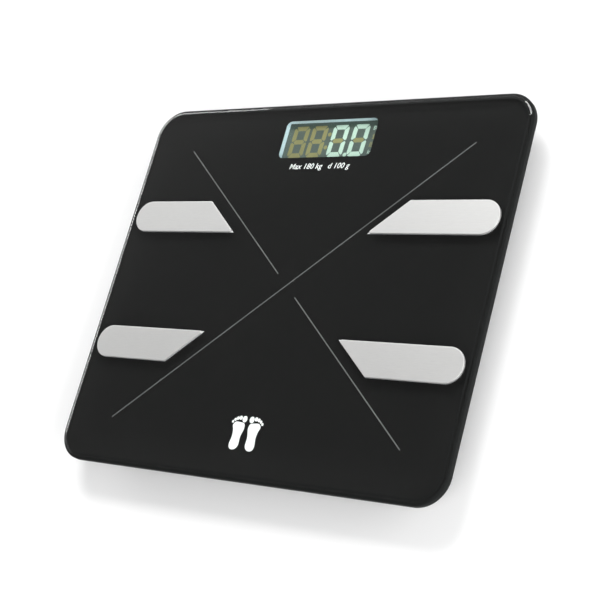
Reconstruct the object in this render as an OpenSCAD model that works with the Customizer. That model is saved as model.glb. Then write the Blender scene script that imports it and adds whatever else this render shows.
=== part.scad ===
// Digital bathroom scale: a glass platform on a shallow plastic housing, weighed by four
// load cells, each with its own sprung foot.
// X runs to the right, Y from the standing edge to the display edge, Z up.
// The origin is on the floor, under the middle of the platform.

/* [Platform glass] */
// Width of the glass, left to right
glass_w = 305; // [296:1:320]
// Depth of the glass, front to back
glass_d = 260; // [256:1:275]
// Thickness of the glass
glass_t = 5; // [4:0.5:6]
// Corner radius of the glass
glass_r = 20; // [14:1:26]
// Width of the ground bevel round the top edge
bevel_w = 2.5; // [1:0.5:4]
// Drop of the ground bevel
bevel_h = 1; // [0.5:0.25:1.5]
// Small flat ground on the bottom edge
arris = 0.6; // [0.3:0.1:1]

/* [Electrodes] */
// Distance from the middle to the round outer end of an electrode
electrode_end_x = 146.1; // [143:0.1:147]
// Distance from the middle to the long centre line of an electrode
electrode_y = 46.6; // [44:0.1:48]
// Width of an electrode
electrode_w = 22.6; // [20:0.2:24]
// Distance from the middle to the pointed inner tip of an electrode
electrode_tip_x = 54.2; // [50:0.1:60]
// Angle of the slanted inner end
electrode_slant = 40.5; // [36:0.5:46]
// Thickness of an electrode
electrode_t = 1.05; // [0.8:0.05:1.5]
// Thickness of the adhesive under an electrode
electrode_tape_t = 0.15; // [0.1:0.05:0.2]
// Distance from the middle to an electrode's stud
stud_x = 104; // [102:0.5:106]
// Diameter of the stud
stud_d = 3; // [2.5:0.5:3]

/* [Housing] */
// Width of the housing
base_w = 272; // [270:1:276]
// Depth of the housing
base_d = 250; // [250:1:252]
// Corner radius of the housing
base_r = 26; // [24:1:27]
// Height of the housing's underside above the floor
base_z = 5; // [4.5:0.1:5.5]
// Height of the housing's wall
base_h = 11.2; // [11.2:0.1:11.4]
// Chamfer round the bottom edge of the housing
base_chamfer = 4; // [3:0.5:5]
// Thickness of the housing's walls and floor
wall = 2.2; // [2:0.1:2.4]
// Thickness of the frame that carries the glass
frame_t = 2; // [1.8:0.1:2.2]
// Thickness of the foam tape between the frame and the glass
tape_t = 0.8; // [0.6:0.1:1]

/* [Feet and load cells] */
// Distance from the middle to a foot, left to right
foot_x = 106; // [104:1:107]
// Distance from the middle to a foot, front to back
foot_y = 84; // [82:1:86]
// Diameter of a foot
foot_d = 44; // [42:0.5:44.5]
// Diameter of a foot's rubber pad
pad_d = 36; // [30:1:38]
// Diameter of the well round a foot
well_d = 46; // [46:0.5:47]
// Side of a load cell
cell_w = 34; // [33:0.5:34]
// Thickness of a load cell
cell_t = 1.6; // [1.4:0.1:1.8]
// Diameter of the pin that centres a foot in its load cell
foot_pin_d = 3.6; // [3:0.2:4]
// Running clearance of that pin, on the radius
pin_gap = 0.1; // [0.05:0.01:0.1]

/* [Display] */
// Distance from the middle to the centre of the display
display_y = 104.9; // [104:0.1:105]
// Width of the clear display window
window_w = 74.5; // [70:0.5:76]
// Depth of the clear display window
window_d = 27.4; // [25:0.2:27.6]
// Corner radius of the window
window_r = 4; // [2:0.5:5]
// Width of the liquid crystal panel
lcd_w = 82; // [80:0.5:82]
// Depth of the liquid crystal panel
lcd_d = 32; // [30:0.5:32]
// Thickness of the liquid crystal panel
lcd_t = 2; // [1.8:0.1:2.2]
// Thickness of the backlight
backlight_t = 1.6; // [1.4:0.1:1.8]

/* [Main board] */
// Width of the main board
board_w = 100; // [98:1:100]
// Distance from the middle to the board's front edge
board_front_y = 66; // [64:0.5:68]
// Distance from the middle to the board's rear edge
board_rear_y = 122.2; // [121:0.1:122.4]
// Thickness of the board
board_t = 1.2; // [1:0.1:1.4]
// Left position of the unit button under the board
button_x = -30; // [-36:1:-24]
// Front position of the unit button under the board
button_y = 76; // [74:1:80]
// Diameter of the unit button's cap
button_d = 9.6; // [8:0.2:10]

/* [Battery compartment] */
// Inner length of the compartment
bay_w = 50; // [50:0.5:51]
// Inner width of the compartment
bay_d = 23.6; // [23.6:0.1:24.4]
// Diameter of a cell
battery_d = 10.5; // [10.2:0.1:10.5]
// Length of a cell, with its button end
battery_len = 44.5; // [44:0.1:44.5]
// Thickness of the battery cover
cover_t = 1.6; // [1.4:0.1:1.7]
// Radius of the cover's hinge barrel
barrel_r = 1.5; // [1.4:0.05:1.5]
// Radius of the cover's hinge pins
hinge_pin_r = 0.9; // [0.8:0.05:1]
// Running clearance of the hinge pins, on the radius
hinge_gap = 0.06; // [0.04:0.01:0.08]

/* [Hidden] */
$fn = 64;

black_abs = "#1d1e20";
grey_abs = "#2c2e31";
steel = "#c9ccce";
brass = "#c8a55a";
eps = 0.01;
cut = 1; // how far a cutter runs past the face that it opens

// Heights, from the floor up
floor_top = base_z + wall;
frame_z = base_z + base_h;
tape_z = frame_z + frame_t;
glass_z = tape_z + tape_t;
glass_top = glass_z + glass_t;
cell_z = base_z + 7;
ceiling_z = cell_z + cell_t;
ceiling_t = 2;
retainer_t = 1.6;
retainer_z = cell_z - retainer_t;
board_z = base_z + 5.2;
board_top = board_z + board_t;
lcd_z = board_top + backlight_t;
lcd_top = lcd_z + lcd_t;
rib_top = base_z + 6.5;
rib_t = 1.6;
rib_x = 75;
rib_y = 54;
load_wire_z = base_z + 9.6;
low_wire_z = base_z + 8;

// Foot
foot_z = 1.4;
foot_floor_top = foot_z + 2.6;
pad_t = foot_z + 0.8;
skirt_top = foot_z + 6;
well_wall = 2;
well_r = well_d / 2;
cell_slot_w = 24;
tongue_w = 12;
tongue_end = 6;
barb_r = foot_pin_d / 2 + 0.7;

// Screws
screw_x = 60;
screw_y = 115;
screw_side_x = 126;
screw_bay_x = 46;
screw_shank_d = 2.4;
screw_head_d = 5.6;
screw_head_z = base_z + 3.4;
board_screw_d = 1.6;
retainer_screw_d = 2;
housing_screw_at = [
  for (x = [-screw_x, screw_x], y = [-screw_y, screw_y]) [x, y],
  for (x = [-screw_side_x, -screw_bay_x, screw_bay_x, screw_side_x]) [x, 0]
];
boss_split_z = base_z + 7;
board_screw_x = board_w / 2 - 3;
board_screw_front_y = board_front_y + 4;
board_screw_rear_y = board_rear_y - 5.2;
retainer_screw_r = 20.3;

// Battery bay and cover
bay_wall = 1.6;
bay_top = base_z + 12.5;
battery_z = base_z + cover_t + 0.2 + battery_d / 2;
battery_y = 6;
contact_t = 0.4;
battery_end_x = bay_w / 2 - contact_t;
spring_wire_r = 0.25;
hinge_y = 16.5;
hinge_z = base_z + barrel_r;
barrel_gap = 0.3;
cover_w = bay_w + 7;
cover_gap = 0.4;
cover_latch_y = -16.5;
hinge_pin_len = 2;
ledge_z = base_z + cover_t + 0.2;
ledge_top = base_z + 4.2;
latch_w = 9;
thumb_scoop_r = 7;

// Blank rating label under the housing
label_w = 59.2;
label_d = 27.2;
label_t = 0.2;
label_recess = 0.3;
label_y = -72;

// Openings round the studs
stud_opening_r = 7;
terminal_reach = 13;

// Wires
wire_r = 0.6;
wire_pitch = 1.3;
bend_r = 2;
lead_turn_x = 62;
lead_off_y = 7;
front_lead_y = 77;
electrode_wire_x = [35, 38];
battery_wire_x = [29, 32];

// ---- shared shapes ----

// Flat plate with round corners, standing on z = 0
module rounded_plate(w, d, r, h) {
  linear_extrude(h) union() {
    square([w - 2 * r, d], center = true);
    square([w, d - 2 * r], center = true);
    for (x = [-1, 1], y = [-1, 1])
      translate([x * (w / 2 - r), y * (d / 2 - r)])
        circle(r);
  }
}

// Sloping band under or over a rounded plate: cw narrower at z = 0, full size at z = ch
module sloping_band(w, d, r, cw, ch) {
  for (x = [-1, 1], y = [-1, 1])
    translate([x * (w / 2 - r), y * (d / 2 - r), 0])
      cylinder(r1 = r - cw, r2 = r, h = ch);
  rotate([90, 0, 90])
    linear_extrude(w - 2 * r, center = true)
      polygon([[-d / 2 + cw, 0], [d / 2 - cw, 0], [d / 2, ch], [-d / 2, ch]]);
  rotate([90, 0, 0])
    linear_extrude(d - 2 * r, center = true)
      polygon([[-w / 2 + cw, 0], [w / 2 - cw, 0], [w / 2, ch], [-w / 2, ch]]);
}

// Pan-head screw, head down, tip up, with its head's underside at z = 0
module screw(head_d, head_h, shank_d, len) {
  translate([0, 0, -head_h])
    difference() {
      cylinder(d = head_d, h = head_h);
      translate([0, 0, -eps])
        for (a = [0, 90])
          rotate(a)
            translate([-head_d * 0.3, -head_h * 0.12, 0])
              cube([head_d * 0.6, head_h * 0.24, head_h * 0.5]);
    }
  cylinder(d = shank_d, h = len - shank_d / 2);
  translate([0, 0, len - shank_d / 2])
    cylinder(d1 = shank_d, d2 = shank_d * 0.3, h = shank_d / 2);
}

// Straight piece of wire along +X from the origin
module wire(len) {
  rotate([0, 90, 0])
    cylinder(r = wire_r, h = len, $fn = 24);
}

// Quarter bend about the origin, from +X round to +Y
module bend(r = bend_r) {
  rotate_extrude(angle = 90)
    translate([r, 0])
      circle(wire_r, $fn = 24);
}

// Wire pin position row, centred on the origin
function pitch_row(n, pitch) = [for (i = [0 : n - 1]) (i - (n - 1) / 2) * pitch];

// ---- platform ----

module glass_platform() {
  color("#26282a", 0.9)
    translate([0, 0, glass_z])
      difference() {
        union() {
          sloping_band(glass_w, glass_d, glass_r, arris, arris);
          translate([0, 0, arris])
            rounded_plate(glass_w, glass_d, glass_r, glass_t - arris - bevel_h);
          translate([0, 0, glass_t])
            mirror([0, 0, 1])
              sloping_band(glass_w, glass_d, glass_r, bevel_w, bevel_h);
        }
        for (x = [-stud_x, stud_x], y = [-electrode_y, electrode_y])
          translate([x, y, -1])
            cylinder(d = stud_d + 2, h = glass_t + 2 * cut);
      }
}

module electrode_outline() {
  slope = tan(electrode_slant);
  inner_y = electrode_y - electrode_w / 2;
  outer_y = electrode_y + electrode_w / 2;
  round_x = electrode_end_x - electrode_w / 2;
  polygon([
    [electrode_tip_x, inner_y],
    [round_x, inner_y],
    [round_x, outer_y],
    [electrode_tip_x + electrode_w / slope, outer_y]
  ]);
  translate([round_x, electrode_y])
    circle(d = electrode_w);
}

// One electrode in the rear right quadrant, with its welded stud
module electrode() {
  color(steel) {
    translate([0, 0, glass_top + electrode_tape_t])
      linear_extrude(electrode_t)
        electrode_outline();
    translate([stud_x, electrode_y, glass_z - 3.8])
      cylinder(d = stud_d, h = glass_t + 3.8 + electrode_tape_t + eps);
  }
}

// Children copied from the rear right quadrant into the one at the given signs
module quadrant(sx, sy) {
  mirror([sx < 0 ? 1 : 0, 0, 0])
    mirror([0, sy < 0 ? 1 : 0, 0])
      children();
}

module electrode_front_left() { quadrant(-1, -1) electrode(); }
module electrode_front_right() { quadrant(1, -1) electrode(); }
module electrode_rear_left() { quadrant(-1, 1) electrode(); }
module electrode_rear_right() { quadrant(1, 1) electrode(); }

module electrode_tapes() {
  color("#e8e8e4")
    for (sx = [-1, 1], sy = [-1, 1])
      quadrant(sx, sy)
        translate([0, 0, glass_top])
          difference() {
            linear_extrude(electrode_tape_t)
              electrode_outline();
            translate([stud_x, electrode_y, -1])
              cylinder(d = stud_d + 2, h = 2);
          }
}

// Insulating sleeve round the stud, with a flange under the glass
module electrode_grommets() {
  color("#f0efe8")
    for (x = [-stud_x, stud_x], y = [-electrode_y, electrode_y])
      translate([x, y, glass_z])
        difference() {
          union() {
            translate([0, 0, -0.6])
              cylinder(d = stud_d + 5, h = 0.6);
            cylinder(d = stud_d + 2, h = glass_t);
          }
          translate([0, 0, -cut])
            cylinder(d = stud_d, h = glass_t + 2 * cut);
        }
}

// Ring terminal clamped under the flange, its barrel turned down
module ring_terminals() {
  color(brass)
    for (sx = [-1, 1], y = [-electrode_y, electrode_y])
      translate([sx * stud_x, y, glass_z - cut])
        difference() {
          union() {
            cylinder(d = stud_d + 4, h = 0.4);
            translate([sx < 0 ? 0 : -8, -1.2, 0])
              cube([8, 2.4, 0.4]);
            translate([-sx * 8, 0, -1.2])
              cylinder(d = 2.4, h = 1.6);
          }
          translate([0, 0, -cut])
            cylinder(d = stud_d, h = 2);
        }
}

module electrode_nuts() {
  color(steel)
    for (x = [-stud_x, stud_x], y = [-electrode_y, electrode_y])
      translate([x, y, glass_z - 3.4])
        difference() {
          cylinder(r = 3.175, h = 2.4, $fn = 6);
          translate([0, 0, -cut])
            cylinder(d = stud_d, h = 5);
        }
}

// Opening round a stud, reaching inwards past the wire terminal
module stud_opening(h) {
  for (sx = [-1, 1], y = [-electrode_y, electrode_y])
    translate([sx * stud_x, y, 0]) {
      cylinder(r = stud_opening_r, h = h);
      translate([sx < 0 ? 0 : -terminal_reach, -4, 0])
        cube([terminal_reach, 8, h]);
    }
}

module platform_tape() {
  band_w = 20;
  tape_w = base_w - 6;
  tape_d = base_d - 6;
  color("#efeeea")
    translate([0, 0, tape_z])
      difference() {
        union() {
          difference() {
            rounded_plate(tape_w, tape_d, base_r - 3, tape_t);
            translate([0, 0, -cut])
              rounded_plate(tape_w - 2 * band_w, tape_d - 2 * band_w, 6, tape_t + 2 * cut);
          }
          for (y = [-electrode_y, electrode_y])
            translate([-tape_w / 2 + 1, y - band_w / 2, 0])
              cube([tape_w - 2, band_w, tape_t]);
        }
        translate([0, 0, -cut])
          stud_opening(tape_t + 2 * cut);
        translate([0, display_y, -1])
          rounded_plate(window_w + 7.5, window_d + 6.6, window_r + 2, tape_t + 2 * cut);
      }
}

// ---- housing ----

module upper_frame() {
  lip_h = 1.6;
  lip_w = base_w - 2 * wall - 0.4;
  lip_d = base_d - 2 * wall - 0.4;
  lip_r = base_r - wall - 0.2;
  color(grey_abs)
    difference() {
      union() {
        translate([0, 0, frame_z])
          rounded_plate(base_w, base_d, base_r, frame_t);
        difference() {
          translate([0, 0, frame_z - lip_h])
            rounded_plate(lip_w, lip_d, lip_r, lip_h);
          translate([0, 0, frame_z - lip_h - 1])
            rounded_plate(lip_w - 3.6, lip_d - 3.6, lip_r - 1.8, lip_h + 1);
          translate([-board_w / 2, base_d / 2 - 12, frame_z - lip_h - 1])
            cube([board_w, 12, lip_h + 1]);
        }
        for (p = housing_screw_at)
          translate([p[0], p[1], boss_split_z])
            cylinder(r = screw_shank_d / 2 + 2.3, h = frame_z - boss_split_z);
        for (x = [-board_screw_x, board_screw_x], y = [board_screw_front_y, board_screw_rear_y])
          translate([x, y, board_top])
            cylinder(r = board_screw_d / 2 + 1.6, h = frame_z - board_top);
      }
      for (p = housing_screw_at)
        translate([p[0], p[1], boss_split_z - cut])
          cylinder(d = screw_shank_d, h = frame_z - boss_split_z + 2.2);
      for (x = [-board_screw_x, board_screw_x], y = [board_screw_front_y, board_screw_rear_y])
        translate([x, y, board_top - cut])
          cylinder(d = board_screw_d, h = 6);
      translate([0, 0, frame_z - cut])
        stud_opening(frame_t + 2 * cut);
      translate([0, display_y, frame_z - cut])
        rounded_plate(window_w + 6.9, window_d + 6.2, window_r + 1.5, frame_t + 2 * cut);
      translate([0, 0, frame_z - cut])
        rounded_plate(bay_w + 2 * bay_wall + 0.6, bay_d + 2 * bay_wall + 0.6, 1, frame_t + 2 * cut);
    }
}

// Round well that holds a load cell and lets its foot through the floor
module well_solid() {
  translate([0, 0, base_z])
    cylinder(r = well_r + well_wall, h = ceiling_z + ceiling_t - base_z);
}

module well_hollow() {
  translate([0, 0, base_z - cut])
    cylinder(r = well_r, h = ceiling_z - base_z + 1);
  translate([0, 0, ceiling_z - cut])
    rounded_plate(cell_slot_w, cell_slot_w, 3, ceiling_t + 2 * cut);
  for (a = [0, 90, 180, 270])
    rotate(a)
      translate([retainer_screw_r, 0, ceiling_z - cut])
        cylinder(d = retainer_screw_d, h = ceiling_t + 0.6);
}

module well_screw_boss() {
  for (a = [0, 90, 180, 270])
    rotate(a)
      translate([retainer_screw_r, 0, ceiling_z])
        cylinder(r = 2.4, h = frame_z - ceiling_z);
}

// Way out of a well for the load cell's lead, towards the middle
module lead_slot(sx) {
  translate([sx > 0 ? -well_r - well_wall - 1 : 0, lead_off_y - 2.6, ceiling_z])
    cube([well_r + well_wall + 1, 5.2, 5]);
}

module housing_ribs() {
  for (y = [-rib_y, rib_y])
    translate([-base_w / 2 + 1, y - rib_t / 2, floor_top - eps])
      cube([base_w - 2, rib_t, rib_top - floor_top]);
  for (x = [-rib_x, rib_x])
    translate([x - rib_t / 2, -base_d / 2 + 1, floor_top - eps])
      cube([rib_t, base_d - 2, rib_top - floor_top]);
}

module bay_solid() {
  outer_w = bay_w + 2 * bay_wall;
  outer_d = bay_d + 2 * bay_wall;
  translate([0, 0, ledge_z])
    rounded_plate(outer_w, outer_d, 0.8, tape_z - ledge_z);
  translate([-cover_w / 2 - 4, cover_latch_y - 4.5, ledge_z])
    cube([cover_w + 8, hinge_y - cover_latch_y + 9, ledge_top - ledge_z]);
}

module bay_hollow() {
  opening_front = cover_latch_y - cover_gap;
  translate([-bay_w / 2, -bay_d / 2, base_z - cut])
    cube([bay_w, bay_d, bay_top - base_z + 1]);
  translate([-cover_w / 2 - cover_gap, opening_front, base_z - cut])
    cube([cover_w + 2 * cover_gap, hinge_y - opening_front, ledge_z - base_z + 1]);
  translate([-cover_w / 2 - cover_gap, hinge_y, hinge_z])
    rotate([0, 90, 0])
      cylinder(r = barrel_r + barrel_gap, h = cover_w + 2 * cover_gap);
  translate([-cover_w / 2 - cover_gap, hinge_y, base_z - cut])
    cube([cover_w + 2 * cover_gap, barrel_r + barrel_gap, hinge_z - base_z + 1]);
  translate([-cover_w / 2 - hinge_pin_len - 0.2, hinge_y, hinge_z])
    rotate([0, 90, 0])
      cylinder(r = hinge_pin_r + hinge_gap, h = cover_w + 2 * hinge_pin_len + 0.4);
  translate([-latch_w / 2 - 0.4, cover_latch_y + 0.2, base_z])
    cube([latch_w + 0.8, 2.6, ledge_top]);
  for (y = [-battery_y, battery_y])
    translate([bay_w / 2 - 1, y - 1.7, low_wire_z - 0.45])
      cube([bay_wall + 2, 3.4, 0.9]);
}

module base_housing() {
  color(black_abs)
    difference() {
      union() {
        difference() {
          union() {
            translate([0, 0, base_z])
              sloping_band(base_w, base_d, base_r, base_chamfer, base_chamfer);
            translate([0, 0, base_z + base_chamfer])
              rounded_plate(base_w, base_d, base_r, base_h - base_chamfer);
          }
          translate([0, 0, floor_top])
            rounded_plate(base_w - 2 * base_chamfer, base_d - 2 * base_chamfer,
              base_r - base_chamfer, base_h);
          translate([0, 0, base_z + base_chamfer])
            rounded_plate(base_w - 2 * wall, base_d - 2 * wall, base_r - wall, base_h);
        }
        for (x = [-foot_x, foot_x], y = [-foot_y, foot_y])
          translate([x, y, 0]) {
            well_solid();
            well_screw_boss();
          }
        for (p = housing_screw_at)
          translate([p[0], p[1], floor_top - eps])
            cylinder(r = 4.2, h = boss_split_z - floor_top + eps);
        housing_ribs();
        bay_solid();
      }
      for (x = [-foot_x, foot_x], y = [-foot_y, foot_y])
        translate([x, y, 0]) {
          well_hollow();
          lead_slot(x);
        }
      for (p = housing_screw_at)
        translate([p[0], p[1], base_z - cut]) {
          cylinder(d = screw_head_d + 0.8, h = screw_head_z - base_z + 1);
          cylinder(d = screw_shank_d + 0.8, h = boss_split_z - base_z + 2);
        }
      bay_hollow();
      translate([button_x, button_y, base_z - cut])
        cylinder(d = button_d + 0.4, h = wall + 2);
      translate([0, cover_latch_y - cover_gap, base_z - cut])
        cylinder(r = thumb_scoop_r, h = 2);
      translate([-label_w / 2 - 0.4, label_y - label_d / 2 - 0.4, base_z - cut])
        cube([label_w + 0.8, label_d + 0.8, 1 + label_recess]);
    }
}

module housing_screws() {
  color(steel)
    for (p = housing_screw_at)
      translate([p[0], p[1], screw_head_z])
        screw(screw_head_d, 1.9, screw_shank_d, 8.6);
}

module rating_label() {
  color("#d9dadb")
    translate([-label_w / 2, label_y - label_d / 2, base_z + label_recess - label_t])
      cube([label_w, label_d, label_t]);
}

// ---- display ----

module display_bezel() {
  skirt_top_z = frame_z - 0.3;
  color("#f2f4f4")
    translate([0, display_y, 0])
      difference() {
        union() {
          translate([0, 0, board_top])
            rounded_plate(lcd_w + 6, lcd_d + 2.8, 1.5, skirt_top_z - board_top);
          translate([0, 0, skirt_top_z - eps])
            rounded_plate(window_w + 6.2, window_d + 5.6, window_r + 1.2, glass_z - 0.6 - skirt_top_z + eps);
        }
        translate([-lcd_w / 2 - 0.1, -lcd_d / 2 - 0.1, board_top - cut])
          cube([lcd_w + 0.2, lcd_d + 0.2, lcd_top - board_top + 1]);
        translate([0, 0, lcd_top - cut])
          rounded_plate(window_w + 1, window_d + 1, window_r, 10);
      }
}

module display_gasket() {
  color("#3a3b3c")
    translate([0, display_y, glass_z - 0.6])
      difference() {
        rounded_plate(window_w + 6.2, window_d + 5.6, window_r + 1.2, 0.6);
        translate([0, 0, -cut])
          rounded_plate(window_w + 1.6, window_d + 1.6, window_r + 0.3, 3);
      }
}

module lcd_panel() {
  color("#4f6058")
    translate([-lcd_w / 2, display_y - lcd_d / 2, lcd_z])
      cube([lcd_w, lcd_d, lcd_t]);
}

module lcd_backlight() {
  color("#e9f2f0")
    translate([-lcd_w / 2 + 1, display_y - lcd_d / 2 + 3.4, board_top])
      cube([lcd_w - 2, lcd_d - 3.8, backlight_t]);
}

module zebra_strip() {
  color("#3b3f45")
    translate([-lcd_w / 2 + 4, display_y - lcd_d / 2 + 0.6, board_top])
      cube([lcd_w - 8, 2, backlight_t]);
}

// ---- electronics ----

module main_board() {
  color("#1f6b45")
    difference() {
      translate([-board_w / 2, board_front_y, board_z])
        cube([board_w, board_rear_y - board_front_y, board_t]);
      for (x = [-board_screw_x, board_screw_x], y = [board_screw_front_y, board_screw_rear_y])
        translate([x, y, board_z - cut])
          cylinder(d = 2, h = board_t + 2 * cut);
    }
}

module board_screws() {
  color(steel)
    for (x = [-board_screw_x, board_screw_x], y = [board_screw_front_y, board_screw_rear_y])
      translate([x, y, board_z])
        screw(3.6, 1.1, board_screw_d, 5);
}

module controller_chip() {
  body = 9;
  color("#161718")
    translate([-body / 2, board_front_y + 7, board_top + 0.1])
      cube([body, body, 1.4]);
  color(steel)
    for (a = [0 : 90 : 270])
      translate([0, board_front_y + 7 + body / 2, board_top])
        rotate(a)
          for (x = pitch_row(11, 0.75))
            translate([x - 0.16, body / 2, 0])
              cube([0.32, 1.1, 0.5]);
}

module board_components() {
  color("#8a8f94")
    translate([12, board_front_y + 8, board_top])
      cube([8, 3.4, 2.6]);
  color("#b98a4a")
    for (x = [-24, -20, -16, -12, 24])
      translate([x, board_front_y + 8, board_top])
        cube([1.2, 2, 0.7]);
  color("#27282a")
    for (x = [-24, -20, -16, -12, 12, 16])
      translate([x, board_front_y + 14, board_top])
        cube([2, 1.2, 0.6]);
  color("#2a2f3a")
    for (x = [-40, 41])
      translate([x, board_front_y + 12, board_top])
        cylinder(d = 4, h = 3.2);
}

module unit_switch() {
  color("#33363a")
    translate([button_x, button_y, board_z - 1.8])
      difference() {
        translate([-3, -3, 0])
          cube([6, 6, 1.8]);
        translate([0, 0, -cut])
          cylinder(r = 1.15, h = 2.5);
      }
}

module switch_plunger() {
  color("#d9d4c4")
    translate([button_x, button_y, board_z - 2.3])
      cylinder(r = 1.1, h = 1.4);
}

// Cap in the floor's hole, with a flange inside that keeps it in
module unit_button() {
  color(grey_abs)
    translate([button_x, button_y, 0])
      difference() {
        union() {
          translate([0, 0, base_z + 0.3])
            cylinder(d = button_d, h = wall - 0.3);
          translate([0, 0, floor_top])
            cylinder(d = button_d + 3, h = board_z - 2.3 - floor_top);
        }
        translate([0, 0, base_z])
          cylinder(d1 = button_d - 2, d2 = button_d - 4.4, h = 0.8);
      }
}

module plug(w, d) {
  translate([-w / 2, 0, 0])
    cube([w, d, 3.8]);
}

module wire_connectors() {
  color("#eceae2") {
    for (sx = [-1, 1], y = [front_lead_y, foot_y + lead_off_y])
      translate([sx * board_w / 2, y, board_top])
        rotate(sx * 90)
          plug(5.6, 5);
    for (x = [-1, 1] * (electrode_wire_x[0] + electrode_wire_x[1]) / 2)
      translate([x, board_front_y, board_top])
        plug(5.4, 5);
    translate([(battery_wire_x[0] + battery_wire_x[1]) / 2, board_front_y, board_top])
      plug(5.4, 5);
  }
}

// ---- load cells ----

// Steel plate with a slot round a tongue that bends under the foot's pin
module load_cell() {
  color(steel)
    translate([0, 0, cell_z])
      difference() {
        rounded_plate(cell_w, cell_w, 4, cell_t);
        translate([-cell_slot_w / 2, -cell_slot_w / 2, -cut])
          difference() {
            cube([cell_slot_w, cell_slot_w, cell_t + 2 * cut]);
            translate([(cell_slot_w - tongue_w) / 2, cell_slot_w / 2 - tongue_end - 2, -cut])
              cube([tongue_w, cell_slot_w, cell_t + 4]);
          }
        translate([0, 0, -cut])
          cylinder(d = foot_pin_d + 2 * pin_gap, h = cell_t + 2 * cut);
      }
}

// Children placed at the foot with the given signs
module at_foot(sx, sy) {
  translate([sx * foot_x, sy * foot_y, 0])
    children();
}

module load_cell_front_left() { at_foot(-1, -1) load_cell(); }
module load_cell_front_right() { at_foot(1, -1) load_cell(); }
module load_cell_rear_left() { at_foot(-1, 1) load_cell(); }
module load_cell_rear_right() { at_foot(1, 1) load_cell(); }

// Sealed strain gauge on each load cell, beside the tongue's root
module strain_gauges() {
  color("#f4f4f0")
    for (sx = [-1, 1], sy = [-1, 1])
      at_foot(sx, sy)
        translate([-4, 5.5, ceiling_z])
          cube([8, 6, 0.9]);
}

// Ring under the load cell, on four spacers, screwed to the well's ceiling
module cell_retainers() {
  color(grey_abs)
    for (sx = [-1, 1], sy = [-1, 1])
      at_foot(sx, sy)
        translate([0, 0, retainer_z])
          difference() {
            union() {
              cylinder(r = well_r - 0.2, h = retainer_t);
              for (a = [0 : 90 : 270])
                rotate(a)
                  translate([retainer_screw_r, 0, 0])
                    cylinder(r = 2.2, h = retainer_t + cell_t);
            }
            translate([0, 0, -cut])
              cylinder(r = 14, h = retainer_t + 2 * cut);
            for (a = [0 : 90 : 270])
              rotate(a)
                translate([retainer_screw_r, 0, -1])
                  cylinder(d = 2.4, h = 6);
          }
}

module retainer_screws() {
  color(steel)
    for (sx = [-1, 1], sy = [-1, 1])
      at_foot(sx, sy)
        for (a = [0 : 90 : 270])
          rotate(a)
            translate([retainer_screw_r, 0, retainer_z])
              screw(4, 1.2, retainer_screw_d, 4.6);
}

// ---- wires ----

// Three wires side by side from each load cell to its plug on the board
module load_cell_leads() {
  start_x = foot_x - 4;
  board_x = board_w / 2;
  turn = bend_r + wire_pitch;
  rear_y = foot_y + lead_off_y;
  front_y = lead_off_y - foot_y;
  color("#a83232")
    for (sx = [-1, 1])
      mirror([sx < 0 ? 1 : 0, 0, 0])
        for (off = pitch_row(3, wire_pitch)) {
          translate([board_x, rear_y + off, load_wire_z])
            wire(start_x - board_x);
          translate([lead_turn_x + turn, front_y + off, load_wire_z])
            wire(start_x - lead_turn_x - turn);
          translate([lead_turn_x + turn, front_y + turn, load_wire_z])
            rotate(180)
              bend(turn - off);
          translate([lead_turn_x + off, front_y + turn, load_wire_z])
            rotate(90)
              wire(front_lead_y - front_y - 2 * turn);
          translate([lead_turn_x - turn, front_lead_y - turn, load_wire_z])
            bend(turn + off);
          translate([board_x, front_lead_y + off, load_wire_z])
            wire(lead_turn_x - turn - board_x);
        }
}

// One wire from each electrode's terminal, down and inwards, then back to the board
module electrode_leads() {
  drop_x = stud_x - 8;
  top_z = glass_z - 2.2;
  for (sx = [-1, 1])
    mirror([sx < 0 ? 1 : 0, 0, 0])
      for (i = [0, 1]) {
        y = (i == 0 ? -1 : 1) * electrode_y;
        x = electrode_wire_x[i];
        color("#3b3d40") {
          translate([drop_x, y, low_wire_z + bend_r])
            cylinder(r = wire_r, h = top_z - low_wire_z - bend_r, $fn = 24);
          translate([drop_x - bend_r, y, low_wire_z + bend_r])
            rotate([-90, 0, 0])
              bend();
          translate([x + bend_r, y, low_wire_z])
            wire(drop_x - x - 2 * bend_r);
          translate([x + bend_r, y + bend_r, low_wire_z])
            rotate(180)
              bend();
          translate([x, y + bend_r, low_wire_z])
            rotate(90)
              wire(board_front_y - y - bend_r);
        }
      }
}

module battery_leads() {
  start_x = bay_w / 2 + bay_wall + 0.6;
  for (i = [0, 1]) {
    y = (i == 0 ? 1 : -1) * battery_y;
    x = battery_wire_x[i];
    r = 1.2;
    color(i == 0 ? "#b02a2a" : "#202122") {
      translate([start_x, y, low_wire_z])
        wire(x - start_x - r);
      translate([x - r, y + r, low_wire_z])
        rotate(-90)
          bend(r);
      translate([x, y + r, low_wire_z])
        rotate(90)
          wire(board_front_y - y - r);
    }
  }
}

// ---- batteries ----

// Small cell lying along X with its button end at +X
module battery() {
  button_len = 1;
  color("#3f5f8a")
    rotate([0, 90, 0])
      cylinder(d = battery_d, h = battery_len - button_len);
  color(steel)
    translate([battery_len - button_len, 0, 0])
      rotate([0, 90, 0])
        cylinder(d = 3.8, h = button_len);
}

module battery_right() {
  translate([battery_end_x - battery_len, battery_y, battery_z])
    battery();
}

module battery_left() {
  translate([battery_len - battery_end_x, -battery_y, battery_z])
    rotate(180)
      battery();
}

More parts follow.
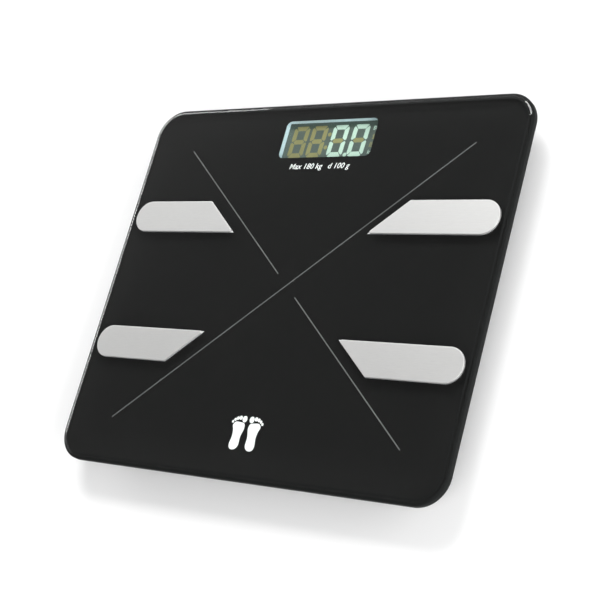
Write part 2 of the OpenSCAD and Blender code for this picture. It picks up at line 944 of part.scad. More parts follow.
// Helix along X as rings of points, narrowing towards the cell
function spring_points(turns, r0, r1, len, steps, sides) = [
  for (i = [0 : steps])
    let (t = i / steps, a = 360 * turns * t, r = r0 + (r1 - r0) * t)
      for (k = [0 : sides - 1])
        let (b = 360 * k / sides, q = r + spring_wire_r * cos(b))
          [(len - 2 * spring_wire_r) * t + spring_wire_r * (1 + sin(b)), q * cos(a), q * sin(a)]
];
function tube_faces(steps, sides) = concat(
  [[for (k = [0 : sides - 1]) k]],
  [for (i = [0 : steps - 1], k = [0 : sides - 1])
    let (n = (k + 1) % sides)
      [i * sides + k, (i + 1) * sides + k, (i + 1) * sides + n, i * sides + n]],
  [[for (k = [sides - 1 : -1 : 0]) steps * sides + k]]
);

module battery_spring() {
  steps = 56;
  sides = 6;
  gap = bay_w - 2 * contact_t - battery_len;
  polyhedron(spring_points(4, 4.2, 2.2, gap, steps, sides), tube_faces(steps, sides), convexity = 8);
}

module battery_springs() {
  color(steel) {
    translate([-battery_end_x, battery_y, battery_z])
      battery_spring();
    translate([battery_end_x, -battery_y, battery_z])
      rotate(180)
        battery_spring();
  }
}

// Bridge across both cells at the left, and two plates with tabs at the right
module battery_contacts() {
  plate_h = 8;
  z = battery_z - plate_h / 2;
  color(steel) {
    translate([-bay_w / 2, -bay_d / 2 + 1.2, z])
      cube([contact_t, bay_d - 2.4, plate_h]);
    for (y = [-battery_y, battery_y]) {
      translate([bay_w / 2 - contact_t, y - 4.6, z])
        cube([contact_t, 9.2, plate_h]);
      translate([bay_w / 2 - eps, y - 1.5, low_wire_z - 0.25])
        cube([bay_wall + 0.6 + eps, 3, 0.5]);
    }
  }
}

// Cover flush with the underside, with a hinge barrel, stub pins and a latch finger
module battery_cover() {
  color(black_abs) {
    translate([-cover_w / 2, cover_latch_y, base_z])
      difference() {
        cube([cover_w, hinge_y - cover_latch_y, cover_t]);
        for (x = [-1, 1])
          translate([cover_w / 2 + x * (latch_w / 2 + 0.6) - 0.5, -1, -1])
            cube([1, 9, cover_t + 2 * cut]);
      }
    translate([-latch_w / 2, cover_latch_y + 0.8, base_z + cover_t - eps])
      cube([latch_w, 1.2, ledge_top - base_z - cover_t + 0.6]);
    translate([-cover_w / 2, hinge_y, hinge_z])
      rotate([0, 90, 0])
        cylinder(r = barrel_r, h = cover_w);
    for (x = [-cover_w / 2 - hinge_pin_len, cover_w / 2])
      translate([x, hinge_y, hinge_z])
        rotate([0, 90, 0])
          cylinder(r = hinge_pin_r, h = hinge_pin_len);
  }
}

// ---- feet ----

// Cup with a boss and a barbed pin that snaps through the load cell's tongue
module foot_cup() {
  color(grey_abs)
    difference() {
      union() {
        translate([0, 0, foot_z])
          cylinder(d = foot_d, h = foot_floor_top - foot_z);
        difference() {
          translate([0, 0, foot_floor_top - eps])
            cylinder(d = foot_d, h = skirt_top - foot_floor_top);
          translate([0, 0, foot_floor_top - cut])
            cylinder(d = foot_d - 4, h = skirt_top);
        }
        for (a = [0 : 45 : 135])
          rotate(a)
            translate([-foot_d / 2 + 1.5, -0.7, foot_floor_top - eps])
              cube([foot_d - 3, 1.4, 2.6]);
        translate([0, 0, foot_floor_top - eps])
          cylinder(d = 12, h = cell_z - foot_floor_top + eps);
        translate([0, 0, cell_z - eps])
          cylinder(d = foot_pin_d, h = cell_t + 0.1 + 2 * eps);
        translate([0, 0, ceiling_z + 0.1])
          cylinder(r1 = barb_r, r2 = foot_pin_d / 2 - 0.6, h = 1.2);
      }
      translate([0, 0, foot_z - cut])
        cylinder(d = pad_d + 0.4, h = 1 + pad_t - foot_z);
    }
}

module foot_pad() {
  color("#3b3c3e")
    cylinder(d = pad_d, h = pad_t);
}

module foot_cup_front_left() { at_foot(-1, -1) foot_cup(); }
module foot_cup_front_right() { at_foot(1, -1) foot_cup(); }
module foot_cup_rear_left() { at_foot(-1, 1) foot_cup(); }
module foot_cup_rear_right() { at_foot(1, 1) foot_cup(); }
module foot_pad_front_left() { at_foot(-1, -1) foot_pad(); }
module foot_pad_front_right() { at_foot(1, -1) foot_pad(); }
module foot_pad_rear_left() { at_foot(-1, 1) foot_pad(); }
module foot_pad_rear_right() { at_foot(1, 1) foot_pad(); }

glass_platform();
electrode_front_left();
electrode_front_right();
electrode_rear_left();
electrode_rear_right();
electrode_tapes();
electrode_grommets();
ring_terminals();
electrode_nuts();
platform_tape();
upper_frame();
base_housing();
housing_screws();
display_bezel();
display_gasket();
lcd_panel();
lcd_backlight();
zebra_strip();
main_board();
board_screws();
controller_chip();
board_components();
unit_switch();
switch_plunger();
unit_button();
wire_connectors();
load_cell_front_left();
load_cell_front_right();
load_cell_rear_left();
load_cell_rear_right();
strain_gauges();
cell_retainers();
retainer_screws();
load_cell_leads();
electrode_leads();
battery_leads();
battery_springs();
battery_contacts();
battery_left();
battery_right();
battery_cover();
rating_label();
foot_cup_front_left();
foot_cup_front_right();
foot_cup_rear_left();
foot_cup_rear_right();
foot_pad_front_left();
foot_pad_front_right();
foot_pad_rear_left();
foot_pad_rear_right();
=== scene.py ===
import math
from collections import namedtuple

import bmesh
import bpy
from mathutils import Matrix, Vector


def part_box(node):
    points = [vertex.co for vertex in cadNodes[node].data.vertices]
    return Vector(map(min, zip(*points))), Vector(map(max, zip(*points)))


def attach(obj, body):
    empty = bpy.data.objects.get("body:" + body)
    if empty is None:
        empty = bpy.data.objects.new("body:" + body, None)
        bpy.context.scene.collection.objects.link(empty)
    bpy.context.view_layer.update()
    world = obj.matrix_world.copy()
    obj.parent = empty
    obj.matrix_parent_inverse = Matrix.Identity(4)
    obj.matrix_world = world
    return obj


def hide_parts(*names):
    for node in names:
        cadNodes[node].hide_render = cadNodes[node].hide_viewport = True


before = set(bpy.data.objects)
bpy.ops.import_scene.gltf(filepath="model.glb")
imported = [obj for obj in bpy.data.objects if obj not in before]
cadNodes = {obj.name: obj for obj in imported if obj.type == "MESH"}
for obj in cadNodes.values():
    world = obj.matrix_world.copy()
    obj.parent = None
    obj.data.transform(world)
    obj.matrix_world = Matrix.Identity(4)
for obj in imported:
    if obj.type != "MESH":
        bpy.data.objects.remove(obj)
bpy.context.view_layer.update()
scene = bpy.context.scene
mm = 0.001
scaleBody = "scale_body"
quadrants = {
    "front_left": (-1, -1),
    "front_right": (1, -1),
    "rear_left": (-1, 1),
    "rear_right": (1, 1),
}


def pieceName(words):
    # front_left becomes FrontLeft
    return words.title().replace("_", "")


# camera, floor and light

cameraSettings = {
    "place": (0.58798, -0.27333, 0.71982),
    "forward": (-0.60935, 0.28020, -0.74174),
    "up": (-0.03552, 0.92489, 0.37857),
    "angle": 22.695,  # degrees across the square picture
}

stageSettings = {
    "floorSize": 9.0,
    "floorColour": (0.9, 0.9, 0.9),
    "skyStrength": 0.8,
    "skyAim": (0, -0.25, 1),  # the sky darkens along this direction
    "skySteps": ((0, 1), (0.46, 0.85), (0.56, 0.35), (0.62, 0.2), (0.7, 0.16), (1, 0.13)),
}

# place, aim, width, height, power
studioLights = {
    "rearSoftbox": ((-0.3, 1.65, 1.75), (0, 0.05, 0), 1.1, 0.8, 32),
    "lowSoftbox": ((-1.9, 1.25, 0.43), (0, 0, 0.05), 2.6, 0.8, 25),
    "frontSoftbox": ((0.95, -1.25, 1.75), (0, 0, 0), 2.4, 1.8, 36),
    "sideSoftbox": ((1.9, -0.1, 0.75), (0, 0, 0), 2.4, 1.0, 42),
}


def makeCamera(settings):
    forward = Vector(settings["forward"]).normalized()
    right = forward.cross(Vector(settings["up"])).normalized()
    up = right.cross(forward)
    data = bpy.data.cameras.new("camera")
    data.angle = math.radians(settings["angle"])
    data.clip_start = 0.01
    camera = bpy.data.objects.new("camera", data)
    turn = Matrix((right, up, -forward)).transposed().to_4x4()
    camera.matrix_world = Matrix.Translation(settings["place"]) @ turn
    scene.collection.objects.link(camera)
    scene.camera = camera


def fillRamp(ramp, stops):
    first, last = ramp.elements
    first.position, first.color = stops[0][0], (*stops[0][1], 1)
    last.position, last.color = stops[-1][0], (*stops[-1][1], 1)
    for place, colour in stops[1:-1]:
        ramp.elements.new(place).color = (*colour, 1)


def makeWorld(settings):
    world = bpy.data.worlds.new("studio")
    world.use_nodes = True
    scene.world = world
    tree = world.node_tree
    background = tree.nodes["Background"]
    background.inputs["Strength"].default_value = settings["skyStrength"]
    coords = tree.nodes.new("ShaderNodeTexCoord")
    lean = tree.nodes.new("ShaderNodeVectorMath")
    lean.operation = "DOT_PRODUCT"
    lean.inputs[1].default_value = settings["skyAim"]
    fade = tree.nodes.new("ShaderNodeValToRGB")
    fillRamp(fade.color_ramp, [(place, (level,) * 3) for place, level in settings["skySteps"]])
    tree.links.new(coords.outputs["Generated"], lean.inputs[0])
    tree.links.new(lean.outputs["Value"], fade.inputs["Fac"])
    tree.links.new(fade.outputs["Color"], background.inputs["Color"])


def makeLights(lights):
    for name, (place, aim, width, height, power) in lights.items():
        data = bpy.data.lights.new(name, "AREA")
        data.shape = "RECTANGLE"
        data.size = width
        data.size_y = height
        data.energy = power
        lamp = bpy.data.objects.new(name, data)
        lamp.location = place
        lamp.rotation_euler = (Vector(aim) - Vector(place)).to_track_quat("-Z", "Y").to_euler()
        scene.collection.objects.link(lamp)


# materials: every pattern reads Object coordinates

def shaderOf(material):
    return material.node_tree.nodes["Principled BSDF"]


def startMaterial(name, colour, roughness, **sockets):
    material = bpy.data.materials.new(name)
    material.use_nodes = True
    shader = shaderOf(material)
    shader.inputs["Base Color"].default_value = (*colour, 1)
    shader.inputs["Roughness"].default_value = roughness
    for socket, value in sockets.items():
        shader.inputs[socket.replace("_", " ")].default_value = value
    return material


def addNode(material, kind, **values):
    node = material.node_tree.nodes.new("ShaderNode" + kind)
    for key, value in values.items():
        if hasattr(node, key):
            setattr(node, key, value)
        else:
            node.inputs[key.replace("_", " ")].default_value = value
    return node


def join(material, outSocket, inSocket):
    material.node_tree.links.new(outSocket, inSocket)


def patternNode(material, kind, stretch=(1, 1, 1), **values):
    coords = addNode(material, "TexCoord")
    mapping = addNode(material, "Mapping", Scale=stretch)
    pattern = addNode(material, kind, **values)
    join(material, coords.outputs["Object"], mapping.inputs["Vector"])
    join(material, mapping.outputs["Vector"], pattern.inputs["Vector"])
    return pattern


def noisePattern(material, scale, stretch=(1, 1, 1), detail=4.0, rough=0.55):
    pattern = patternNode(material, "TexNoise", stretch, Scale=scale, Detail=detail, Roughness=rough)
    return pattern.outputs["Fac"]


def axisSplit(material):
    # x, y and z of each point, as separate outputs
    coords = addNode(material, "TexCoord")
    split = addNode(material, "SeparateXYZ")
    join(material, coords.outputs["Object"], split.inputs[0])
    return split.outputs


def rescale(material, source, fromLow, fromHigh, toLow=0.0, toHigh=1.0):
    span = addNode(material, "MapRange", From_Min=fromLow, From_Max=fromHigh, To_Min=toLow, To_Max=toHigh)
    join(material, source, span.inputs["Value"])
    return span.outputs[0]


def colourByPattern(material, factor, stops):
    ramp = addNode(material, "ValToRGB")
    fillRamp(ramp.color_ramp, stops)
    join(material, factor, ramp.inputs["Fac"])
    join(material, ramp.outputs["Color"], shaderOf(material).inputs["Base Color"])


def roughByPattern(material, factor, low, high):
    # noise stays mostly between 0.3 and 0.7
    join(material, rescale(material, factor, 0.3, 0.7, low, high), shaderOf(material).inputs["Roughness"])


def bumpByPattern(material, factor, depth, strength=1.0):
    bump = addNode(material, "Bump", Strength=strength, Distance=depth)
    previous = shaderOf(material).inputs["Normal"]
    if previous.is_linked:
        join(material, previous.links[0].from_socket, bump.inputs["Normal"])
    join(material, factor, bump.inputs["Height"])
    join(material, bump.outputs["Normal"], previous)


def shade(colour, factor):
    return tuple(min(1.0, channel * factor) for channel in colour)


def tintByPattern(material, factor, colour, *stops):
    # each stop is a place along the pattern and how bright the colour is there
    colourByPattern(material, factor, [(place, shade(colour, level)) for place, level in stops])


def clearGlass():
    # lamps' rays pass straight through, so the print behind stays lit
    material = startMaterial("platformGlass", (0.93, 0.975, 0.955), 0.012, IOR=1.5, Transmission_Weight=1.0)
    roughByPattern(material, noisePattern(material, 9, detail=5), 0.0, 0.008)
    paths = addNode(material, "LightPath")
    through = addNode(material, "BsdfTransparent", Color=(0.88, 0.92, 0.9, 1))
    mixer = addNode(material, "MixShader")
    join(material, paths.outputs["Is Shadow Ray"], mixer.inputs["Fac"])
    join(material, shaderOf(material).outputs[0], mixer.inputs[1])
    join(material, through.outputs[0], mixer.inputs[2])
    join(material, mixer.outputs[0], material.node_tree.nodes["Material Output"].inputs["Surface"])
    return material


def paintedShadeEdge():
    # painted shade: the ground arrises, the sides and the rounding inside the bevel get an opaque near-black
    # colour, standing in for the dark seen through clear glass there
    dark = (0.0055, 0.0062, 0.006)
    material = startMaterial("paintedShadeEdge", dark, 0.6, Specular_IOR_Level=0.12)
    streaks = noisePattern(material, 1500, (1, 1, 6))
    tintByPattern(material, streaks, dark, (0.3, 0.7), (0.7, 1.4))
    roughByPattern(material, streaks, 0.55, 0.7)
    return material


def blackEnamel(paintedGlowWidth=0.035, cornerBlend=0.02):
    # painted glow: the black print is made up to 2.6 times lighter towards the rim, standing in for the soft
    # band of reflected light along the edges
    dark = (0.0054, 0.0052, 0.0052)
    material = startMaterial("blackEnamel", dark, 0.6, Specular_IOR_Level=0.05)
    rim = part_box("glass_platform")[1]
    letters = axisSplit(material)
    nearest = addNode(material, "Math", operation="SMOOTH_MAX")
    nearest.inputs[2].default_value = cornerBlend
    for index, (letter, edge) in enumerate((("X", rim.x), ("Y", rim.y))):
        size = addNode(material, "Math", operation="ABSOLUTE")
        past = addNode(material, "Math", operation="SUBTRACT")
        past.inputs[1].default_value = edge
        join(material, letters[letter], size.inputs[0])
        join(material, size.outputs[0], past.inputs[0])
        join(material, past.outputs[0], nearest.inputs[index])
    # painted glow: lighter towards the rim, blended round the corners
    fade = rescale(material, nearest.outputs[0], -paintedGlowWidth, 0.0)
    tintByPattern(material, fade, dark, (0, 1), (0.4, 1.12), (0.75, 1.5), (1, 2.6))
    roughByPattern(material, noisePattern(material, 45, detail=6), 0.48, 0.62)
    return material


def printInk(name, colour):
    material = startMaterial(name, colour, 0.6)
    grain = noisePattern(material, 2500, detail=2)
    tintByPattern(material, grain, colour, (0.25, 0.9), (0.75, 1.08))
    roughByPattern(material, grain, 0.5, 0.7)
    return material


def brushedSteel():
    # fine hairlines from left to right, with broad faint bands between them
    colour = (0.645, 0.645, 0.637)
    material = startMaterial("brushedSteel", colour, 0.5, Metallic=1.0)
    hairs = noisePattern(material, 9000, (0.02, 1, 1), rough=0.7)
    bands = noisePattern(material, 2600, (0.04, 1, 1), detail=3)
    tintByPattern(material, hairs, colour, (0.3, 0.94), (0.5, 1), (0.72, 1.06))
    roughByPattern(material, bands, 0.5, 0.58)
    bumpByPattern(material, hairs, 0.000004, 0.3)
    return material


def turnedSteel(name, colour, roughness):
    material = startMaterial(name, colour, roughness, Metallic=1.0)
    scuffs = noisePattern(material, 1400, detail=5, rough=0.65)
    tintByPattern(material, scuffs, colour, (0.3, 0.82), (0.7, 1.08))
    roughByPattern(material, scuffs, roughness * 0.75, roughness * 1.35)
    bumpByPattern(material, scuffs, 0.00001, 0.35)
    return material


def mouldedPlastic(name, colour, roughness=0.55, grainSize=1600, grainDepth=0.00004):
    # spark-eroded mould texture over a slow drift in gloss
    material = startMaterial(name, colour, roughness)
    grain = noisePattern(material, grainSize, detail=6, rough=0.65)
    drift = noisePattern(material, 22, detail=3)
    tintByPattern(material, drift, colour, (0.3, 0.86), (0.7, 1.14))
    roughByPattern(material, drift, roughness * 0.88, roughness * 1.14)
    bumpByPattern(material, grain, grainDepth, 0.6)
    return material


def foam(name, colour):
    material = startMaterial(name, colour, 0.9)
    cells = patternNode(material, "TexVoronoi", Scale=2200).outputs["Distance"]
    # painted shade: each cell is darker at its middle, where the bump sinks it into a pit
    tintByPattern(material, cells, colour, (0.05, 0.7), (0.6, 1))
    bumpByPattern(material, cells, 0.00012, 0.8)
    return material


def rubber(name, colour, roughness=0.8):
    material = startMaterial(name, colour, roughness, Specular_IOR_Level=0.35)
    dust = noisePattern(material, 60, detail=5, rough=0.6)
    grain = noisePattern(material, 3000, detail=3)
    tintByPattern(material, dust, colour, (0.35, 0.85), (0.7, 1.35))
    roughByPattern(material, dust, roughness * 0.9, min(1, roughness * 1.12))
    bumpByPattern(material, grain, 0.00003, 0.5)
    return material


def wireJacket(name, colour):
    material = startMaterial(name, colour, 0.42)
    drift = noisePattern(material, 160, detail=3)
    tintByPattern(material, drift, colour, (0.3, 0.85), (0.7, 1.12))
    roughByPattern(material, drift, 0.36, 0.5)
    return material


def circuitBoard():
    mask = (0.012, 0.12, 0.055)
    material = startMaterial("circuitBoard", mask, 0.32, Coat_Weight=0.35, Coat_Roughness=0.2)
    coords = addNode(material, "TexCoord")
    tracks = addNode(material, "TexBrick", Scale=230, Mortar_Size=0.06, Brick_Width=0.9, Row_Height=0.35,
                     Color1=(*mask, 1), Color2=(*shade(mask, 1.25), 1), Mortar=(0.03, 0.2, 0.09, 1))
    join(material, coords.outputs["Object"], tracks.inputs["Vector"])
    join(material, tracks.outputs["Color"], shaderOf(material).inputs["Base Color"])
    bumpByPattern(material, tracks.outputs["Fac"], 0.00003, 0.5)
    return material


def lcdFaceWithShade():
    # painted shade: the film is given a darker band along its far edge
    material = startMaterial("lcdFaceWithShade", (0.1, 0.14, 0.12), 0.28, Coat_Weight=0.6, Coat_Roughness=0.06)
    nearEdge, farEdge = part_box("lcd_panel")
    depth = rescale(material, axisSplit(material)["Y"], nearEdge.y, farEdge.y)
    # painted shade: the last fifth towards the far edge is darker
    colourByPattern(material, depth, [(0, (0.056, 0.073, 0.068)), (0.78, (0.058, 0.074, 0.064)),
                                      (0.81, (0.028, 0.048, 0.036)), (1, (0.024, 0.044, 0.033))])
    bumpByPattern(material, noisePattern(material, 1800, detail=2), 0.000008, 0.3)
    return material


def lcdInk(name, colour, glow=0.0):
    material = startMaterial(name, colour, 0.35, Coat_Weight=0.5, Coat_Roughness=0.08)
    fade = noisePattern(material, 45, detail=2)
    tintByPattern(material, fade, colour, (0.3, 0.92), (0.7, 1.06))
    if glow:
        shaderOf(material).inputs["Emission Color"].default_value = (*colour, 1)
        shaderOf(material).inputs["Emission Strength"].default_value = glow
    return material


# mesh helpers

def newObject(name, mesh, materials):
    piece = bpy.data.objects.new(name, mesh)
    scene.collection.objects.link(piece)
    for material in materials:
        mesh.materials.append(material)
    return piece


def roundedPolygon(corners, radii, inset, steps):
    # corners anticlockwise; every inset keeps the same arc centres, so loops match point for point
    points = []
    count = len(corners)
    for i, radius in enumerate(radii):
        here = Vector(corners[i])
        inward = (here - Vector(corners[i - 1])).normalized()
        onward = (Vector(corners[(i + 1) % count]) - here).normalized()
        turn = math.atan2(inward.x * onward.y - inward.y * onward.x, inward.dot(onward))
        side = Vector((-inward.y, inward.x))
        centre = here - inward * radius * math.tan(turn / 2) + side * radius
        start = math.atan2(-side.y, -side.x)
        for k in range(steps + 1):
            angle = start + turn * k / steps
            points.append(centre + (radius - inset) * Vector((math.cos(angle), math.sin(angle))))
    return points


axes = namedtuple("axes", "x y z")


def boxOf(node):
    # lowest and highest corner, middle and half size
    low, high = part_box(node)
    middle = axes(*((a + b) / 2 for a, b in zip(low, high)))
    half = axes(*((b - a) / 2 for a, b in zip(low, high)))
    return low, high, middle, half


def boxCorners(halfWidth, halfDepth, centre=(0, 0)):
    x, y = centre
    return [(x - halfWidth, y - halfDepth), (x + halfWidth, y - halfDepth),
            (x + halfWidth, y + halfDepth), (x - halfWidth, y + halfDepth)]


def circlePoints(centre, radius, steps=32):
    return [Vector((centre[0] + radius * math.cos(math.tau * k / steps),
                    centre[1] + radius * math.sin(math.tau * k / steps))) for k in range(steps)]


def addLoop(bm, points, z):
    verts = [bm.verts.new((p.x, p.y, z)) for p in points]
    edges = [bm.edges.new((verts[i - 1], verts[i])) for i in range(len(verts))]
    return verts, edges


def bridge(bm, low, high, slot=0, smooth=True, flip=False):
    for i in range(len(low)):
        ring = [low[i - 1], low[i], high[i], high[i - 1]]
        face = bm.faces.new(ring[::-1] if flip else ring)
        face.smooth = smooth
        face.material_index = slot


def fillFlat(bm, edges, upwards, slot=0):
    filled = bmesh.ops.triangle_fill(bm, use_beauty=True, use_dissolve=False, edges=edges)
    faces = [item for item in filled["geom"] if isinstance(item, bmesh.types.BMFace)]
    for face in faces:
        face.normal_update()
        if (face.normal.z > 0) != upwards:
            face.normal_flip()
        face.smooth = False
        face.material_index = slot


def meshFrom(bm, name):
    mesh = bpy.data.meshes.new(name)
    bm.to_mesh(mesh)
    bm.free()
    return mesh


def finishMesh(bm, name, materials, body=scaleBody, replaces=()):
    piece = newObject(name, meshFrom(bm, name), materials)
    settle(piece, body, replaces)
    return piece


def settle(piece, body=scaleBody, replaces=()):
    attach(piece, body)
    if replaces:
        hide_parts(*replaces)


def loftPlate(bm, corners, radii, levels, steps, holes=(), openings=(), secondSlot=()):
    # levels run from the bottom up as (inset, height); holes are (centre, radius), openings are
    # rings of points, and secondSlot lists the bands of the side that take the second material
    loops = [addLoop(bm, roundedPolygon(corners, radii, inset, steps), z) for inset, z in levels]
    for band, ((low, _), (high, _)) in enumerate(zip(loops, loops[1:])):
        bridge(bm, low, high, slot=1 if band in secondSlot else 0)
    bottomEdges, topEdges = list(loops[0][1]), list(loops[-1][1])
    for ring in [circlePoints(*hole) for hole in holes] + list(openings):
        lowRing = addLoop(bm, ring, levels[0][1])
        highRing = addLoop(bm, ring, levels[-1][1])
        bridge(bm, lowRing[0], highRing[0], flip=True)
        bottomEdges += lowRing[1]
        topEdges += highRing[1]
    fillFlat(bm, topEdges, True)
    fillFlat(bm, bottomEdges, False)


def addPrism(bm, outline, lowZ, highZ, slot=0):
    # an upright solid on any ring of points, whichever way round it runs
    ring = [Vector(p) for p in outline]
    area = sum(ring[i - 1].x * ring[i].y - ring[i].x * ring[i - 1].y for i in range(len(ring)))
    if area < 0:
        ring.reverse()
    low, _ = addLoop(bm, ring, lowZ)
    high, _ = addLoop(bm, ring, highZ)
    bridge(bm, low, high, slot=slot, smooth=False)
    for face in (bm.faces.new(low[::-1]), bm.faces.new(high)):
        face.material_index = slot


def lathe(bm, profile, place, steps=48, slots=None, axis="z", notch=None):
    # profile runs as (radius, height) from the foot of the axis to its head, slots holds the material
    # above each ring, and notch(ring, point) is taken off the radius
    slots = slots or [0] * len(profile)
    rings = []
    for index, (radius, height) in enumerate(profile):
        ring = []
        for k in range(steps):
            angle = math.tau * k / steps
            r = radius - (notch(index, k) if notch else 0)
            x, y = r * math.cos(angle), r * math.sin(angle)
            point = (x, y, height) if axis == "z" else (height, x, y)
            ring.append(bm.verts.new(Vector(point) + Vector(place)))
        rings.append(ring)
    for index, (low, high) in enumerate(zip(rings, rings[1:])):
        bridge(bm, low, high, slot=slots[index])
    for ring, slot in ((rings[0][::-1], slots[0]), (rings[-1], slots[-1])):
        face = bm.faces.new(ring)
        face.smooth = False
        face.material_index = slot


# the glass platform, printed black on its back

platformSettings = {
    "cornerRadius": 20 * mm,
    "cornerSteps": 24,
    "holeRadius": 2.5 * mm,
    "studX": 104 * mm,
    "studY": 46.6 * mm,
    "windowCentre": (0, 104.9 * mm),
    "windowHalf": (37.25 * mm, 13.7 * mm),
    "windowRadius": 4 * mm,
    "windowSteps": 10,
    "enamelLow": 0.01 * mm,  # above the back of the glass
    "enamelHigh": 0.03 * mm,
    "enamelInset": 0.66 * mm,  # in from the edge of the glass
    "holeMargin": 0.5 * mm,
    # how far in from the edge, and how far up from the back
    "edge": [(0.6, 0), (0.3, 0.09), (0.09, 0.3), (0, 0.6), (0, 3.75), (0.06, 3.93), (0.2, 4.08), (1.65, 4.48),
             (2.7, 4.825), (3.05, 4.92), (3.5, 4.985), (4.1, 5)],
    # the bands that take the painted shade of the dark edge material
    "paintedShadeBands": (0, 1, 2, 3, 4, 5, 6, 8, 9, 10),  # all but the polished bevel
}


def studHoles(settings, margin=0):
    return [((sx * settings["studX"], sy * settings["studY"]), settings["holeRadius"] + margin)
            for sx, sy in quadrants.values()]


def platformPlate(settings, levels, margin=0, **more):
    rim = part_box("glass_platform")[1]
    bm = bmesh.new()
    radii = [settings["cornerRadius"]] * 4
    loftPlate(bm, boxCorners(rim.x, rim.y), radii, levels, settings["cornerSteps"],
              studHoles(settings, margin), **more)
    return bm


def makePlatform(settings, glass, edge):
    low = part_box("glass_platform")[0]
    levels = [(inset * mm, low.z + rise * mm) for inset, rise in settings["edge"]]
    # the dark second material on these bands is painted shade
    bm = platformPlate(settings, levels, secondSlot=settings["paintedShadeBands"])
    finishMesh(bm, "platformGlass", [glass, edge], replaces=("glass_platform",))


def makeEnamel(settings, enamel):
    # a closed sheet just inside the back of the glass, open at the display and round each stud
    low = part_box("glass_platform")[0]
    levels = [(settings["enamelInset"], low.z + settings[side]) for side in ("enamelLow", "enamelHigh")]
    window = boxCorners(*settings["windowHalf"], settings["windowCentre"])
    outline = roundedPolygon(window, [settings["windowRadius"]] * 4, 0, settings["windowSteps"])
    bm = platformPlate(settings, levels, settings["holeMargin"], openings=[outline])
    finishMesh(bm, "backEnamel", [enamel])


# markings between the glass and the enamel

markSettings = {
    "depth": 0.02 * mm,
    "lift": 0.045 * mm,
    "lineHalf": (114.9 * mm, 98.4 * mm),  # reach of the crossed lines from the middle
    "lineWidth": 0.7 * mm,
    "lineGap": 9.2 * mm,  # the second line stops this far short of the middle, left to right
    "capacity": "Max 180 kg   d 100 g",
    "capacityCentre": (-0.4 * mm, 84.1 * mm),
    "capacitySize": (49 * mm, 5.2 * mm),
    "capacitySlant": 0.22,
    "capacityWeight": 0.006,
    "feetCentre": (0, -99 * mm),
    "footGap": 6.6 * mm,
    "footLength": 22 * mm,
    # one sole and its toes (x, y, radius), as shares of the foot's length
    "sole": [(-0.06, -0.5), (0.1, -0.49), (0.16, -0.36), (0.13, -0.14), (0.15, 0.06), (0.2, 0.2),
             (0.12, 0.3), (-0.05, 0.3), (-0.19, 0.27), (-0.23, 0.12), (-0.17, -0.12), (-0.17, -0.38)],
    "toes": [(-0.17, 0.4, 0.085), (-0.02, 0.43, 0.055), (0.08, 0.41, 0.048), (0.165, 0.365, 0.042),
             (0.235, 0.3, 0.037)],
    "soleSteps": 6,
    "toeSteps": 20,
    "toeStretch": 1.12,
}


def markHeight(settings):
    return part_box("glass_platform")[0].z + settings["lift"]


def addStrip(bm, start, end, width, z, depth):
    start, end = Vector(start), Vector(end)
    along = (end - start).normalized()
    side = Vector((-along.y, along.x)) * width / 2
    addPrism(bm, [start - side, end - side, end + side, start + side], z, z + depth)


def makeLines(settings, ink):
    x, y = settings["lineHalf"]
    gapX = settings["lineGap"]
    gapY = gapX * y / x
    bm = bmesh.new()
    for start, end in (((-x, -y), (x, y)), ((-x, y), (-gapX, gapY)), ((gapX, -gapY), (x, -y))):
        addStrip(bm, start, end, settings["lineWidth"], markHeight(settings), settings["depth"])
    finishMesh(bm, "crossedLines", [ink])


def textMesh(body, size, slant, weight, lowZ, highZ, centre):
    # plain lettering of the given width and height, standing between two heights
    text = bpy.data.curves.new("draftText", "FONT")
    text.body = body
    text.shear = slant
    text.offset = weight
    text.extrude = 0.5
    text.resolution_u = 4
    draft = bpy.data.objects.new("draftText", text)
    scene.collection.objects.link(draft)
    bpy.context.view_layer.update()
    mesh = bpy.data.meshes.new_from_object(draft.evaluated_get(bpy.context.evaluated_depsgraph_get()))
    bpy.data.objects.remove(draft)
    mesh.materials.clear()
    xs, ys = [v.co.x for v in mesh.vertices], [v.co.y for v in mesh.vertices]
    middle = Vector(((min(xs) + max(xs)) / 2, (min(ys) + max(ys)) / 2, 0))
    scale = (size[0] / (max(xs) - min(xs)), size[1] / (max(ys) - min(ys)), highZ - lowZ, 1)
    place = Matrix.Translation((*centre, (lowZ + highZ) / 2))
    mesh.transform(place @ Matrix.Diagonal(scale) @ Matrix.Translation(-middle))
    return mesh


def makeCapacity(settings, ink):
    low = markHeight(settings)
    mesh = textMesh(settings["capacity"], settings["capacitySize"], settings["capacitySlant"],
                    settings["capacityWeight"], low, low + settings["depth"], settings["capacityCentre"])
    mesh.name = "capacityMarking"
    settle(newObject("capacityMarking", mesh, [ink]))


def makeFeetMark(settings, ink):
    # two plain bare soles, mirrored, each one outline with five round toes
    low, size = markHeight(settings), settings["footLength"]
    centreX, centreY = settings["feetCentre"]
    outlines = [smoothClosed(settings["sole"], settings["soleSteps"])]
    for x, y, radius in settings["toes"]:
        circle = circlePoints((0, 0), radius, settings["toeSteps"])
        outlines.append([Vector((x + p.x, y + p.y * settings["toeStretch"])) for p in circle])
    bm = bmesh.new()
    for sign in (-1, 1):
        middleX = centreX + sign * settings["footGap"]
        for outline in outlines:
            ring = [(middleX + sign * p.x * size, centreY + p.y * size) for p in outline]
            addPrism(bm, ring, low, low + settings["depth"])
    finishMesh(bm, "feetMarking", [ink])


def smoothClosed(points, steps):
    # Catmull-Rom curve through a closed ring of points
    result = []
    count = len(points)
    for i in range(count):
        a, b, c, d = (Vector(points[(i + k) % count]) for k in (-1, 0, 1, 2))
        for k in range(steps):
            t = k / steps
            result.append(0.5 * (2 * b + (c - a) * t + (2 * a - 5 * b + 4 * c - d) * t * t
                                 + (3 * b - a - 3 * c + d) * t ** 3))
    return result


# steel electrodes

